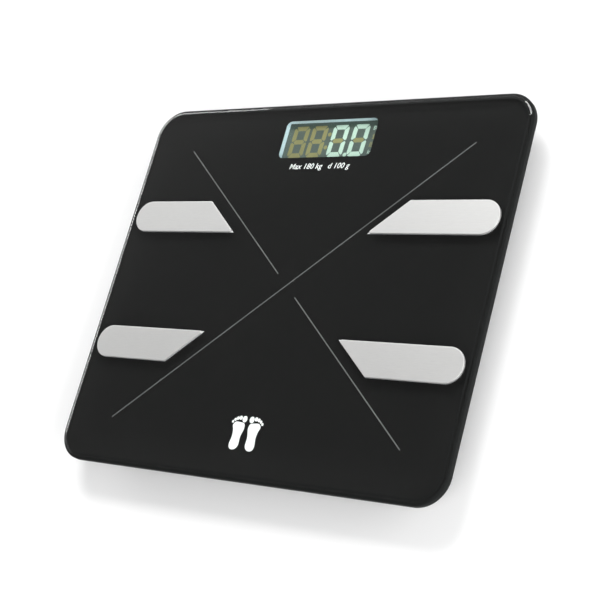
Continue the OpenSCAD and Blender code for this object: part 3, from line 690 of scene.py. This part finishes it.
electrodeSettings = {
    "tipX": 54.2 * mm,
    "slant": math.radians(40.5),
    "tipRadius": 1.1 * mm,
    "roundSteps": 14,
    # how far in from the outline, and how far down from the top
    "edge": [(0.12, 1.05), (0, 0.93), (0, 0.3), (0.05, 0.16), (0.15, 0.06), (0.3, 0.012), (0.42, 0)],
    "studRadius": 1.5 * mm,
    "threadDepth": 0.12 * mm,
    "threadPitch": 0.5 * mm,
    "threadEnd": 4.4 * mm,  # up from the stud's foot
    "threadRunOut": 0.3 * mm,
    "studChamfer": 0.4 * mm,
    "studSteps": 24,
}


def studProfile(settings, bottom, top):
    radius, depth, pitch = settings["studRadius"], settings["threadDepth"], settings["threadPitch"]
    chamfer = settings["studChamfer"]
    profile = [(radius - chamfer, bottom)]
    z, threadTop = bottom + chamfer, bottom + settings["threadEnd"]
    while z < threadTop:
        profile += [(radius, z), (radius - depth, z + pitch / 2)]
        z += pitch
    return profile + [(radius, threadTop + settings["threadRunOut"]), (radius, top)]


def makeElectrode(settings, quadrant, steel, studSteel):
    node = "electrode_" + quadrant
    sx, sy = quadrants[quadrant]
    low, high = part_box(node)
    outerX = max(abs(low.x), abs(high.x))
    innerY, outerY = sorted((abs(low.y), abs(high.y)))
    width = outerY - innerY
    cornerX = settings["tipX"] + width / math.tan(settings["slant"])
    corners = [(settings["tipX"], innerY), (outerX, innerY), (outerX, outerY), (cornerX, outerY)]
    half = width / 2
    radii = [settings["tipRadius"], half * 0.9999, half * 0.9999, settings["tipRadius"]]
    bm = bmesh.new()
    loops = []
    for inset, drop in settings["edge"]:
        ring = roundedPolygon(corners, radii, inset * mm, settings["roundSteps"])
        loops.append(addLoop(bm, ring, high.z - drop * mm)[0])
    for lower, upper in zip(loops, loops[1:]):
        bridge(bm, lower, upper)
    bm.faces.new(loops[-1]).smooth = False
    bm.faces.new(loops[0][::-1]).smooth = False
    plateBottom = high.z - settings["edge"][0][1] * mm
    profile = studProfile(settings, low.z, plateBottom)
    place = (platformSettings["studX"], platformSettings["studY"], 0)
    lathe(bm, profile, place, settings["studSteps"], [1] * len(profile))
    bmesh.ops.scale(bm, vec=(sx, sy, 1), verts=bm.verts)
    if sx * sy < 0:
        bmesh.ops.reverse_faces(bm, faces=bm.faces)
    finishMesh(bm, "electrode" + pieceName(quadrant), [steel, studSteel],
               replaces=(node,))


# liquid crystal panel with its seven-bar digits

lcdSettings = {
    "corner": 0.4 * mm,
    "chamfer": 0.08 * mm,
    "lowerGlass": 1.0 * mm,  # thickness of the lower sheet
    "upperInset": 0.25 * mm,
    "ledge": 0.02 * mm,  # rise of the step between the sheets
    "segmentThickness": 0.03 * mm,
    "digitHeight": 23.2 * mm,
    "digitWidth": 12.9 * mm,
    "bar": 3.3 * mm,
    "gap": 0.28 * mm,
    "lean": 0.045,
    "digitStarts": (-33.2, -18.0, -0.8, 15.8),  # left edges, in mm
    # place from the middle in mm, and material
    "dots": ((-2.5, 5.0, 1), (-3.1, -4.6, 1), (14.1, -10.3, 2)),
    "dot": 1.45 * mm,
    "dotSteps": 20,
    "lit": {2: "abcdef", 3: "abcdef"},
    # word, height from the middle in mm, and material
    "units": (("st", 8.9, 2), ("s", 2.2, 1), ("lb", -3.4, 1), ("kg", -9.2, 2)),
    "unitX": 33.4 * mm,
    "unitSlant": 0.1,
    "unitWeight": 0.02,
    "unitSize": (3.4 * mm, 3.7 * mm),
}


def segmentOutlines(width, height, bar, gap):
    # one digit as seven outlines round its own middle, keyed by the usual letters
    x, y, h, t = width / 2, height / 2, bar, bar / 2
    q = 0.3 * h  # how far an outer corner is cut
    top = [(-x + q * 2 + gap, y), (x - q * 2 - gap, y), (x - q - gap, y - q * 0.4),
           (x - h - gap * 0.3, y - h), (-x + h + gap * 0.3, y - h), (-x + q + gap, y - q * 0.4)]
    right = [(x, y - q * 2 - gap), (x, t + gap - t * 0.55), (x - t * 0.6, gap), (x - h, t + gap * 0.7),
             (x - h, y - h - gap), (x - q, y - q - gap)]
    middle = [(-x + h * 0.62, 0), (-x + h + gap * 0.2, t), (x - h - gap * 0.2, t), (x - h * 0.62, 0),
              (x - h - gap * 0.2, -t), (-x + h + gap * 0.2, -t)]

    def flip(ring, signX, signY):
        return [(px * signX, py * signY) for px, py in ring]

    return {"a": top, "b": right, "c": flip(right, 1, -1), "d": flip(top, 1, -1),
            "e": flip(right, -1, -1), "f": flip(right, -1, 1), "g": middle}


def makeLcd(settings, materials):
    low, high, centre, half = boxOf("lcd_panel")
    faceZ, centreY = high.z - settings["segmentThickness"], centre.y
    chamfer, step, inset = settings["chamfer"], settings["lowerGlass"], settings["upperInset"]
    levels = [(chamfer, low.z), (0, low.z + chamfer), (0, low.z + step),
              (inset, low.z + step + settings["ledge"]), (inset, faceZ - chamfer),
              (inset + chamfer, faceZ)]
    bm = bmesh.new()
    loftPlate(bm, boxCorners(half.x, half.y, (0, centreY)), [settings["corner"]] * 4, levels, 4)
    outlines = segmentOutlines(settings["digitWidth"], settings["digitHeight"], settings["bar"],
                               settings["gap"])
    for index, left in enumerate(settings["digitStarts"]):
        middleX = left * mm + settings["digitWidth"] / 2
        for letter, outline in outlines.items():
            lit = letter in settings["lit"].get(index, "")
            ring = [(middleX + px + settings["lean"] * py, centreY + py) for px, py in outline]
            addPrism(bm, ring, faceZ, high.z, 2 if lit else 1)
    for dotX, dotY, slot in settings["dots"]:
        circle = circlePoints((dotX * mm, centreY + dotY * mm), settings["dot"], settings["dotSteps"])
        addPrism(bm, circle, faceZ, high.z, slot)
    width, height = settings["unitSize"]
    for word, rise, slot in settings["units"]:
        start = len(bm.faces)
        place = (settings["unitX"], centreY + rise * mm)
        size = (width * len(word) / 2, height)
        bm.from_mesh(textMesh(word, size, settings["unitSlant"], settings["unitWeight"], faceZ, high.z, place))
        bm.faces.ensure_lookup_table()
        for face in bm.faces[start:]:
            face.material_index = slot
    finishMesh(bm, "lcdPanel", [materials["lcdFaceWithShade"], materials["lcdDark"], materials["lcdLit"]],
               replaces=("lcd_panel",))


# display surround with ribbed inner walls

bezelSettings = {
    "opening": (37.75 * mm, 14.2 * mm, 0.5 * mm),  # half width, half depth, corner radius
    "collar": (40.35 * mm, 16.5 * mm, 5.2 * mm),
    "collarRise": 2.5 * mm,  # from the shelf to the top
    "ribPitch": 1.2 * mm,
    "ribDepth": 0.3 * mm,
    "round": 0.15 * mm,
    "skirtRadius": 1.5 * mm,
    "pocketRadius": 0.2 * mm,
    "clearance": 0.1 * mm,  # round the panel
}


def resample(points, pitch):
    # even steps round a closed ring, an even number of them
    lengths = [(points[(i + 1) % len(points)] - points[i]).length for i in range(len(points))]
    count = 2 * round(sum(lengths) / pitch)
    step = sum(lengths) / count
    result, i, used = [], 0, 0.0
    for k in range(count):
        target = k * step
        while used + lengths[i] < target - 1e-9:
            used += lengths[i]
            i += 1
        share = (target - used) / lengths[i]
        result.append(points[i].lerp(points[(i + 1) % len(points)], share))
    return result


def ribbedRing(points, pitch, depth):
    ring = resample(points, pitch / 2)
    count = len(ring)
    result = []
    for i, p in enumerate(ring):
        along = (ring[(i + 1) % count] - ring[i - 1]).normalized()
        result.append(p + Vector((-along.y, along.x)) * (depth if i % 2 else 0))
    return result


def makeBezel(settings, plastic):
    low, high, middle, half = boxOf("display_bezel")
    _, lcdHigh, _, lcdHalf = boxOf("lcd_panel")
    centre, lip, room = (0, middle.y), settings["round"], settings["clearance"]
    shelf = high.z - settings["collarRise"]
    openX, openY, openRadius = settings["opening"]
    collarX, collarY, collarRadius = settings["collar"]

    def ring(halfX, halfY, radius, inset, steps):
        return roundedPolygon(boxCorners(halfX, halfY, centre), [radius] * 4, inset, steps)

    ribs = ribbedRing(ring(openX, openY, openRadius, 0, 3), settings["ribPitch"], settings["ribDepth"])
    bm = bmesh.new()
    outer = [addLoop(bm, ring(high.x, half.y, settings["skirtRadius"], inset, 6), z)
             for inset, z in ((lip, low.z), (0, low.z + lip), (0, shelf - lip), (lip, shelf))]
    upper = [addLoop(bm, ring(collarX, collarY, collarRadius, inset, 10), z)
             for inset, z in ((0, shelf), (0, high.z - lip), (lip, high.z))]
    inner = [addLoop(bm, ribs, z) for z in (lcdHigh.z, high.z)]
    pocket = [addLoop(bm, ring(lcdHigh.x + room, lcdHalf.y + room, settings["pocketRadius"], 0, 2), z)
              for z in (low.z, lcdHigh.z)]
    for group in (outer, upper):
        for (lowRing, _), (highRing, _) in zip(group, group[1:]):
            bridge(bm, lowRing, highRing)
    for hollow in (inner, pocket):
        bridge(bm, hollow[0][0], hollow[1][0], smooth=False, flip=True)
    for first, second, upwards in ((outer[-1], upper[0], True), (upper[-1], inner[1], True),
                                   (pocket[1], inner[0], False), (pocket[0], outer[0], False)):
        fillFlat(bm, first[1] + second[1], upwards)
    finishMesh(bm, "displayBezel", [plastic], replaces=("display_bezel",))


# copies of CAD pieces, with their edges softened

def mergedMesh(node):
    bm = bmesh.new()
    bm.from_mesh(cadNodes[node].data)
    bmesh.ops.remove_doubles(bm, verts=bm.verts, dist=1e-6)
    return bm


def islandsOf(node):
    # the lowest and highest corner of each separate part of a node
    bm = mergedMesh(node)
    left, boxes = set(bm.verts), []
    while left:
        stack, part = [left.pop()], []
        while stack:
            vert = stack.pop()
            part.append(vert.co.copy())
            for edge in vert.link_edges:
                other = edge.other_vert(vert)
                if other in left:
                    left.remove(other)
                    stack.append(other)
        low = Vector(min(p[i] for p in part) for i in range(3))
        high = Vector(max(p[i] for p in part) for i in range(3))
        boxes.append((low, high))
    bm.free()
    return sorted(boxes, key=lambda box: tuple(round(v, 5) for v in box[0]))


def bakeModifiers(piece):
    bpy.context.view_layer.update()
    mesh = bpy.data.meshes.new_from_object(piece.evaluated_get(bpy.context.evaluated_depsgraph_get()))
    piece.modifiers.clear()
    old = piece.data
    piece.data = mesh
    mesh.name = piece.name
    bpy.data.meshes.remove(old)


def soften(name, node, width, materials, body=scaleBody, creaseAngle=18):
    # flat faces are joined up first, so only real edges are rounded
    bm = mergedMesh(node)
    bmesh.ops.dissolve_limit(bm, angle_limit=math.radians(0.5), verts=bm.verts, edges=bm.edges)
    piece = newObject(name, meshFrom(bm, name), materials)
    if width:
        bevel = piece.modifiers.new("softEdges", "BEVEL")
        bevel.limit_method = "ANGLE"
        bevel.angle_limit = math.radians(creaseAngle)
        bevel.width = width
        bevel.segments = 2
        bevel.use_clamp_overlap = True
        bakeModifiers(piece)
    piece.data.shade_smooth()
    piece.data.set_sharp_from_angle(angle=math.radians(creaseAngle))
    settle(piece, body, (node,))


# feet

footSettings = {
    "dimple": (0.6 * mm, 1.6 * mm, 1.9 * mm, 2.2 * mm),  # radii from its floor to its rim
    "grooves": (4.5 * mm, 8.5 * mm, 12.5 * mm),  # middle radii
    "grooveWidth": 1.4 * mm,
    "grooveDepth": 0.7 * mm,
    "rimNotches": 30,
    "notchDepth": 0.45 * mm,
    "notchTop": 1.1 * mm,
    "edge": 0.4 * mm,
    "tinyEdge": 0.1 * mm,
    "cupEdge": 0.35 * mm,
}


def makePad(settings, quadrant, rubberLook):
    node = "foot_pad_" + quadrant
    low, high, centre, size = boxOf(node)
    radius, half, bottom = size.x, settings["grooveWidth"] / 2, low.z
    floor, soft, tiny = bottom + settings["grooveDepth"], settings["edge"], settings["tinyEdge"]
    dimple = settings["dimple"]
    profile = [(dimple[0], floor), (dimple[1], floor), (dimple[2], bottom + soft / 2), (dimple[3], bottom)]
    for r in settings["grooves"]:
        profile += [(r - half - tiny, bottom), (r - half, bottom + tiny), (r - half * 0.8, floor),
                    (r + half * 0.8, floor), (r + half, bottom + tiny), (r + half + tiny, bottom)]
    rimStart = len(profile)
    profile += [(radius - soft, bottom), (radius - soft * 0.3, bottom + soft * 0.3), (radius, bottom + soft),
                (radius, bottom + settings["notchTop"]), (radius, high.z - tiny), (radius - tiny, high.z)]

    def notch(index, k):
        return settings["notchDepth"] if rimStart <= index < rimStart + 4 and k % 4 == 0 else 0

    bm = bmesh.new()
    lathe(bm, profile, (centre.x, centre.y, 0), settings["rimNotches"] * 4, notch=notch)
    piece = finishMesh(bm, "footPad" + pieceName(quadrant), [rubberLook], "foot_" + quadrant,
                       (node,))
    piece.data.set_sharp_from_angle(angle=math.radians(40))


# screws, one Geometry Nodes tree for every kind

screwSettings = {
    "housing_screws": {"head": 5.6, "headHeight": 1.9, "shank": 2.4, "pitch": 0.9},
    "board_screws": {"head": 3.6, "headHeight": 1.1, "shank": 1.6, "pitch": 0.6},
    "retainer_screws": {"head": 4.0, "headHeight": 1.2, "shank": 2.0, "pitch": 0.75},
}


# shares of the head's radius and height, and of the shank's radius and length
screwShape = {
    "headSides": 40,
    "rimTaper": 0.8,
    "rimHeight": 0.35,
    "slotLength": 1.15,
    "slotWidth": 0.27,
    "slotDepth": 1.1,
    "coreSides": 24,
    "coreFoot": 0.8,
    "coreTip": 0.32,
    "coreRise": 0.95,
    "threadFoot": 0.84,
    "threadTip": 0.5,
    "threadRise": 1.15,
    "threadLength": 0.85,
    "turnSteps": 20,
    "ridge": 0.15,
    "lift": 0.02,
    "lengthShare": 0.98,
}


def startTree(name, sizes, counts=()):
    # a tree with named inputs, and three helpers: size reads an input, node adds a node whose
    # inputs are values, outputs or lists of outputs, and grow ends the tree
    tree = bpy.data.node_groups.new(name, "GeometryNodeTree")
    kinds = {"Points": "Geometry", **dict.fromkeys(sizes, "Float"), **dict.fromkeys(counts, "Int"),
             "Finish": "Material"}
    for label, kind in kinds.items():
        tree.interface.new_socket(label, in_out="INPUT", socket_type="NodeSocket" + kind)
    tree.interface.new_socket("Geometry", in_out="OUTPUT", socket_type="NodeSocketGeometry")
    group = tree.nodes.new("NodeGroupInput")

    def size(label, share=1):
        if share == 1:
            return group.outputs[label]
        times = tree.nodes.new("ShaderNodeMath")
        times.operation = "MULTIPLY"
        times.inputs[1].default_value = share
        tree.links.new(group.outputs[label], times.inputs[0])
        return times.outputs[0]

    def node(kind, **values):
        made = tree.nodes.new(kind)
        for key, value in values.items():
            if key in made.bl_rna.properties:
                setattr(made, key, value)
                continue
            socket = made.inputs[key.replace("_", " ")]
            for source in value if isinstance(value, list) else [value]:
                if isinstance(source, bpy.types.NodeSocket):
                    tree.links.new(source, socket)
                else:
                    socket.default_value = source
        return made.outputs[0]

    def grow(shape):
        spread = node("GeometryNodeInstanceOnPoints", Points=size("Points"), Instance=shape)
        real = node("GeometryNodeRealizeInstances", Geometry=spread)
        done = node("GeometryNodeSetMaterial", Geometry=real, Material=size("Finish"))
        tree.links.new(done, tree.nodes.new("NodeGroupOutput").inputs["Geometry"])
        return tree

    return size, node, grow


def screwTree(shape):
    # a crosshead self-tapping screw, head down, on every point
    size, node, grow = startTree("screwTree", ("Head Radius", "Head Height", "Shank Radius", "Length",
                                               "Thread Turns"))

    def raised(part, share):
        up = node("ShaderNodeCombineXYZ", Z=size("Head Height", share))
        return node("GeometryNodeTransform", Geometry=part, Translation=up)

    rimHeight, long, narrow = shape["rimHeight"], shape["slotLength"], shape["slotWidth"]
    rim = node("GeometryNodeMeshCone", Vertices=shape["headSides"], Radius_Top=size("Head Radius"),
               Radius_Bottom=size("Head Radius", shape["rimTaper"]), Depth=size("Head Height", rimHeight))
    collar = node("GeometryNodeMeshCylinder", Vertices=shape["headSides"], Radius=size("Head Radius"),
                  Depth=size("Head Height", 1 - rimHeight))
    head = node("GeometryNodeMeshBoolean", operation="UNION",
                Mesh_2=[rim, raised(collar, (1 + rimHeight) / 2)])
    slots = []
    for wide, deep in ((long, narrow), (narrow, long)):
        bar = node("ShaderNodeCombineXYZ", X=size("Head Radius", wide), Y=size("Head Radius", deep),
                   Z=size("Head Height", shape["slotDepth"]))
        slots.append(node("GeometryNodeMeshCube", Size=bar))
    cross = node("GeometryNodeMeshBoolean", operation="DIFFERENCE", Mesh_1=head, Mesh_2=slots)
    core = node("GeometryNodeMeshCone", Vertices=shape["coreSides"], Depth=size("Length"),
                Radius_Top=size("Shank Radius", shape["coreTip"]),
                Radius_Bottom=size("Shank Radius", shape["coreFoot"]))
    helix = node("GeometryNodeCurveSpiral", Resolution=shape["turnSteps"], Rotations=size("Thread Turns"),
                 Start_Radius=size("Shank Radius", shape["threadFoot"]),
                 End_Radius=size("Shank Radius", shape["threadTip"]),
                 Height=size("Length", shape["threadLength"]))
    ridge = node("GeometryNodeCurvePrimitiveCircle", Resolution=4, Radius=size("Shank Radius", shape["ridge"]))
    thread = node("GeometryNodeCurveToMesh", Curve=raised(helix, shape["threadRise"]), Profile_Curve=ridge,
                  Fill_Caps=True)
    return grow(node("GeometryNodeJoinGeometry", Geometry=[cross, raised(core, shape["coreRise"]), thread]))


def growOnPoints(name, tree, points, values):
    # runs a Geometry Nodes tree on loose points and keeps the result as a plain mesh
    mesh = bpy.data.meshes.new(name)
    mesh.from_pydata([tuple(p) for p in points], [], [])
    piece = newObject(name, mesh, [])
    modifier = piece.modifiers.new(name, "NODES")
    modifier.node_group = tree
    for item in tree.interface.items_tree:
        if item.in_out == "INPUT" and item.name in values:
            modifier[item.identifier] = values[item.name]
    bakeModifiers(piece)
    return piece


def makeScrews(node, settings, shape, tree, steelLook):
    headHeight = settings["headHeight"] * mm
    boxes = islandsOf(node)
    points = [((low.x + high.x) / 2, (low.y + high.y) / 2, low.z + headHeight * shape["lift"])
              for low, high in boxes]
    length = boxes[0][1].z - boxes[0][0].z - headHeight
    values = {
        "Head Radius": settings["head"] * mm / 2,
        "Head Height": headHeight,
        "Shank Radius": settings["shank"] * mm / 2,
        "Length": length * shape["lengthShare"],
        "Thread Turns": length / (settings["pitch"] * mm),
        "Finish": steelLook,
    }
    piece = growOnPoints(node.split("_")[0] + "Screws", tree, points, values)
    piece.data.set_sharp_from_angle(angle=math.radians(35))
    settle(piece, replaces=(node,))


# batteries

batterySettings = {
    "lip": 0.25 * mm,  # rolled edge of the sleeve
    "capRadius": 0.8,  # share of the radius
    "buttonRadius": 1.9 * mm,
    "buttonLength": 1.0 * mm,
    "bandShare": 0.3,  # share of the length that has the light band
    "steps": 56,
}


def makeBattery(settings, node, buttonSide, materials):
    low, high, centre, half = boxOf(node)
    radius, length = half.z, high.x - low.x
    lip, cap, button = settings["lip"], radius * settings["capRadius"], settings["buttonRadius"]
    soft = lip * 0.3
    body = length - settings["buttonLength"]
    band = body * (1 - settings["bandShare"])
    # radius, height, and the material above: 0 sleeve, 1 plated end, 2 light band
    profile = [(0.5 * mm, lip * 0.6, 1), (cap, lip * 0.6, 1), (cap + lip / 2, 0, 0), (radius - lip, 0, 0),
               (radius - soft, soft, 0), (radius, lip, 0), (radius, band, 2), (radius, band + 0.01 * mm, 2),
               (radius, body - lip, 2), (radius - soft, body - soft, 2), (radius - lip, body, 2),
               (cap, body - lip * 0.5, 1), (button + lip * 2, body - lip, 1), (button + lip, body - soft, 1),
               (button, body, 1), (button, length - lip, 1), (button - lip, length, 1)]
    bm = bmesh.new()
    lathe(bm, [(r, z) for r, z, _ in profile], (0, 0, 0), settings["steps"],
          [slot for _, _, slot in profile], "x")
    if buttonSide < 0:
        bmesh.ops.rotate(bm, cent=(0, 0, 0), matrix=Matrix.Rotation(math.pi, 3, "Z"), verts=bm.verts)
    start = low.x if buttonSide > 0 else high.x
    bmesh.ops.translate(bm, vec=(start, centre.y, centre.z), verts=bm.verts)
    name = node.replace("_l", "L").replace("_r", "R")
    piece = finishMesh(bm, name, materials, replaces=(node,))
    piece.data.set_sharp_from_angle(angle=math.radians(50))


# battery cover grip and blank rating label

coverSettings = {
    "gripCount": 6,
    "gripPitch": 1.5 * mm,
    "gripLength": 16 * mm,
    "gripRise": 0.3 * mm,
    "gripRound": 1.6,  # radius of a bar, as a multiple of its rise
    "gripFront": -12.6 * mm,
    "softEdge": 0.18 * mm,
}
labelSettings = {
    "corner": 1.5 * mm,
    "cornerSteps": 6,
    "border": 1.2 * mm,
    "line": 0.25 * mm,
    "rise": 0.02 * mm,
    "rows": 4,
}


def gripTree():
    # a row of little rounded bars
    size, node, grow = startTree("gripTree", ("Bar Length", "Bar Radius", "Pitch"), ("Count",))
    pitch = node("ShaderNodeCombineXYZ", Y=size("Pitch"))
    row = node("GeometryNodeMeshLine", mode="OFFSET", Count=size("Count"), Offset=pitch)
    start, end = (node("ShaderNodeCombineXYZ", X=size("Bar Length", share)) for share in (-0.5, 0.5))
    spine = node("GeometryNodeCurvePrimitiveLine", Start=start, End=end)
    section = node("GeometryNodeCurvePrimitiveCircle", Resolution=12, Radius=size("Bar Radius"))
    bar = node("GeometryNodeCurveToMesh", Curve=spine, Profile_Curve=section, Fill_Caps=True)
    return grow(node("GeometryNodeInstanceOnPoints", Points=row, Instance=bar))


def makeCoverGrip(settings, plastic):
    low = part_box("battery_cover")[0]
    radius = settings["gripRise"] * settings["gripRound"]
    start = (0, settings["gripFront"], low.z + radius - settings["gripRise"])
    values = {"Bar Length": settings["gripLength"], "Bar Radius": radius, "Pitch": settings["gripPitch"],
              "Count": settings["gripCount"], "Finish": plastic}
    settle(growOnPoints("coverGrip", gripTree(), [start], values), "battery_cover")


def makeLabel(settings, film, ink):
    low, high, centre, half = boxOf("rating_label")
    bm = bmesh.new()
    corners = boxCorners(half.x, half.y, (centre.x, centre.y))
    loftPlate(bm, corners, [settings["corner"]] * 4, [(0, low.z), (0, high.z)], settings["cornerSteps"])
    finishMesh(bm, "ratingLabel", [film], replaces=("rating_label",))
    line, rise, count = settings["line"], settings["rise"], settings["rows"]
    reachX, reachY = half.x - settings["border"], half.y - settings["border"]
    left, right = centre.x - reachX, centre.x + reachX
    rows = [centre.y - reachY + 2 * reachY * k / count for k in range(count + 1)]
    strips = [((left, y), (right, y)) for y in rows]
    strips += [((x, rows[0] - line / 2), (x, rows[-1] + line / 2)) for x in (left, right)]
    bm = bmesh.new()
    for start, end in strips:
        addStrip(bm, start, end, line, low.z - rise, 2 * rise)
    finishMesh(bm, "labelRules", [ink])


def makeFloor(settings):
    pale = settings["floorColour"]
    material = startMaterial("paleFloor", pale, 0.7)
    drift = [tuple(channel + change for channel in pale) for change in (-0.01, 0.01)]
    colourByPattern(material, noisePattern(material, 3), [(0.3, drift[0]), (0.7, drift[1])])
    half = settings["floorSize"] / 2
    bm = bmesh.new()
    bm.faces.new([bm.verts.new((x, y, 0)) for x, y in boxCorners(half, half)])
    newObject("floor", meshFrom(bm, "floor"), [material])


# build everything

makeCamera(cameraSettings)
makeWorld(stageSettings)
makeLights(studioLights)
scene.view_settings.view_transform = "Standard"

makeFloor(stageSettings)
print("stage, camera and light made")

looks = {
    "glass": clearGlass(),
    "edge": paintedShadeEdge(),
    "enamel": blackEnamel(),
    "lineInk": printInk("lineInk", (0.12, 0.12, 0.12)),
    "whiteInk": printInk("whiteInk", (0.85, 0.85, 0.85)),
    "steel": brushedSteel(),
    "studSteel": turnedSteel("studSteel", (0.6, 0.6, 0.61), 0.3),
    "rubber": rubber("padRubber", (0.02, 0.02, 0.022)),
    "greyAbs": mouldedPlastic("greyAbs", (0.03, 0.032, 0.036), 0.55),
    "blackAbs": mouldedPlastic("blackAbs", (0.014, 0.0145, 0.016), 0.5),
    "screwSteel": turnedSteel("screwSteel", (0.6, 0.6, 0.61), 0.32),
    "plated": turnedSteel("platedSteel", (0.66, 0.66, 0.65), 0.28),
    "sleeve": wireJacket("batterySleeve", (0.02, 0.035, 0.08)),
    "band": wireJacket("batteryBand", (0.5, 0.36, 0.13)),
    "labelFilm": mouldedPlastic("labelFilm", (0.55, 0.56, 0.57), 0.4, 900, 0.00001),
    "labelInk": printInk("labelInk", (0.05, 0.05, 0.055)),
    "bezel": mouldedPlastic("bezelWhite", (0.56, 0.66, 0.71), 0.35, 900, 0.00001),
    "lcdFaceWithShade": lcdFaceWithShade(),
    "lcdDark": lcdInk("lcdDark", (0.21, 0.183, 0.068)),
    "lcdLit": lcdInk("lcdLit", (0.42, 0.53, 0.46), 0.04),
}

makePlatform(platformSettings, looks["glass"], looks["edge"])
makeEnamel(platformSettings, looks["enamel"])
makeLines(markSettings, looks["lineInk"])
makeCapacity(markSettings, looks["whiteInk"])
makeFeetMark(markSettings, looks["whiteInk"])
print("glass platform and its print made")

for quadrant in quadrants:
    makeElectrode(electrodeSettings, quadrant, looks["steel"], looks["studSteel"])
print("electrodes made")

makeLcd(lcdSettings, looks)
makeBezel(bezelSettings, looks["bezel"])
print("display made")

for quadrant in quadrants:
    makePad(footSettings, quadrant, looks["rubber"])
    soften("footCup" + pieceName(quadrant), "foot_cup_" + quadrant, footSettings["cupEdge"],
           [looks["greyAbs"]], "foot_" + quadrant)
print("feet made")

screws = screwTree(screwShape)
for node, sizes in screwSettings.items():
    makeScrews(node, sizes, screwShape, screws, looks["screwSteel"])
print("screws made")

for node, side in (("battery_left", -1), ("battery_right", 1)):
    makeBattery(batterySettings, node, side, [looks["sleeve"], looks["plated"], looks["band"]])
makeCoverGrip(coverSettings, looks["blackAbs"])
soften("batteryCover", "battery_cover", coverSettings["softEdge"], [looks["blackAbs"]],
       "battery_cover")
makeLabel(labelSettings, looks["labelFilm"], looks["labelInk"])
print("batteries, cover and label made")

soften("baseHousing", "base_housing", 0, [looks["blackAbs"]])
soften("upperFrame", "upper_frame", 0, [looks["greyAbs"]])
soften("unitButton", "unit_button", 0.25 * mm, [looks["greyAbs"]], "unit_button")
print("casings made")

boardParts = {
    "electrode_tapes": mouldedPlastic("clearAdhesive", (0.7, 0.71, 0.71), 0.3),
    "electrode_grommets": mouldedPlastic("insulator", (0.78, 0.76, 0.68), 0.45),
    "ring_terminals": turnedSteel("terminalBrass", (0.72, 0.55, 0.25), 0.32),
    "electrode_nuts": turnedSteel("nutSteel", (0.62, 0.62, 0.63), 0.3),
    "platform_tape": foam("foamTape", (0.8, 0.79, 0.75)),
    "display_gasket": foam("darkFoam", (0.05, 0.05, 0.055)),
    "lcd_backlight": mouldedPlastic("backlightPlastic", (0.8, 0.88, 0.86), 0.35),
    "zebra_strip": rubber("zebraRubber", (0.1, 0.1, 0.11)),
    "main_board": circuitBoard(),
    "controller_chip": mouldedPlastic("chipEpoxy", (0.015, 0.015, 0.016), 0.45),
    "board_components": mouldedPlastic("componentCeramic", (0.35, 0.25, 0.14), 0.4),
    "unit_switch": mouldedPlastic("switchCase", (0.03, 0.03, 0.033), 0.4),
    "switch_plunger": mouldedPlastic("plungerNylon", (0.7, 0.66, 0.55), 0.4),
    "wire_connectors": mouldedPlastic("connectorNylon", (0.78, 0.76, 0.68), 0.4),
    "strain_gauges": rubber("whiteSilicone", (0.8, 0.8, 0.77), 0.45),
    "cell_retainers": mouldedPlastic("retainerAbs", (0.028, 0.03, 0.034), 0.5),
    "load_cell_leads": wireJacket("redWire", (0.45, 0.02, 0.02)),
    "electrode_leads": wireJacket("blackWire", (0.015, 0.015, 0.017)),
    "battery_leads": wireJacket("batteryWire", (0.4, 0.03, 0.025)),
    "battery_springs": turnedSteel("springSteel", (0.68, 0.68, 0.67), 0.22),
    "battery_contacts": turnedSteel("contactPlate", (0.66, 0.65, 0.6), 0.3),
}
cellSteel = turnedSteel("cellSteel", (0.55, 0.56, 0.57), 0.35)
boardParts.update({"load_cell_" + quadrant: cellSteel for quadrant in quadrants})
for node, look in boardParts.items():
    cadNodes[node].data.materials.clear()
    cadNodes[node].data.materials.append(look)
print("materials on the CAD pieces set")
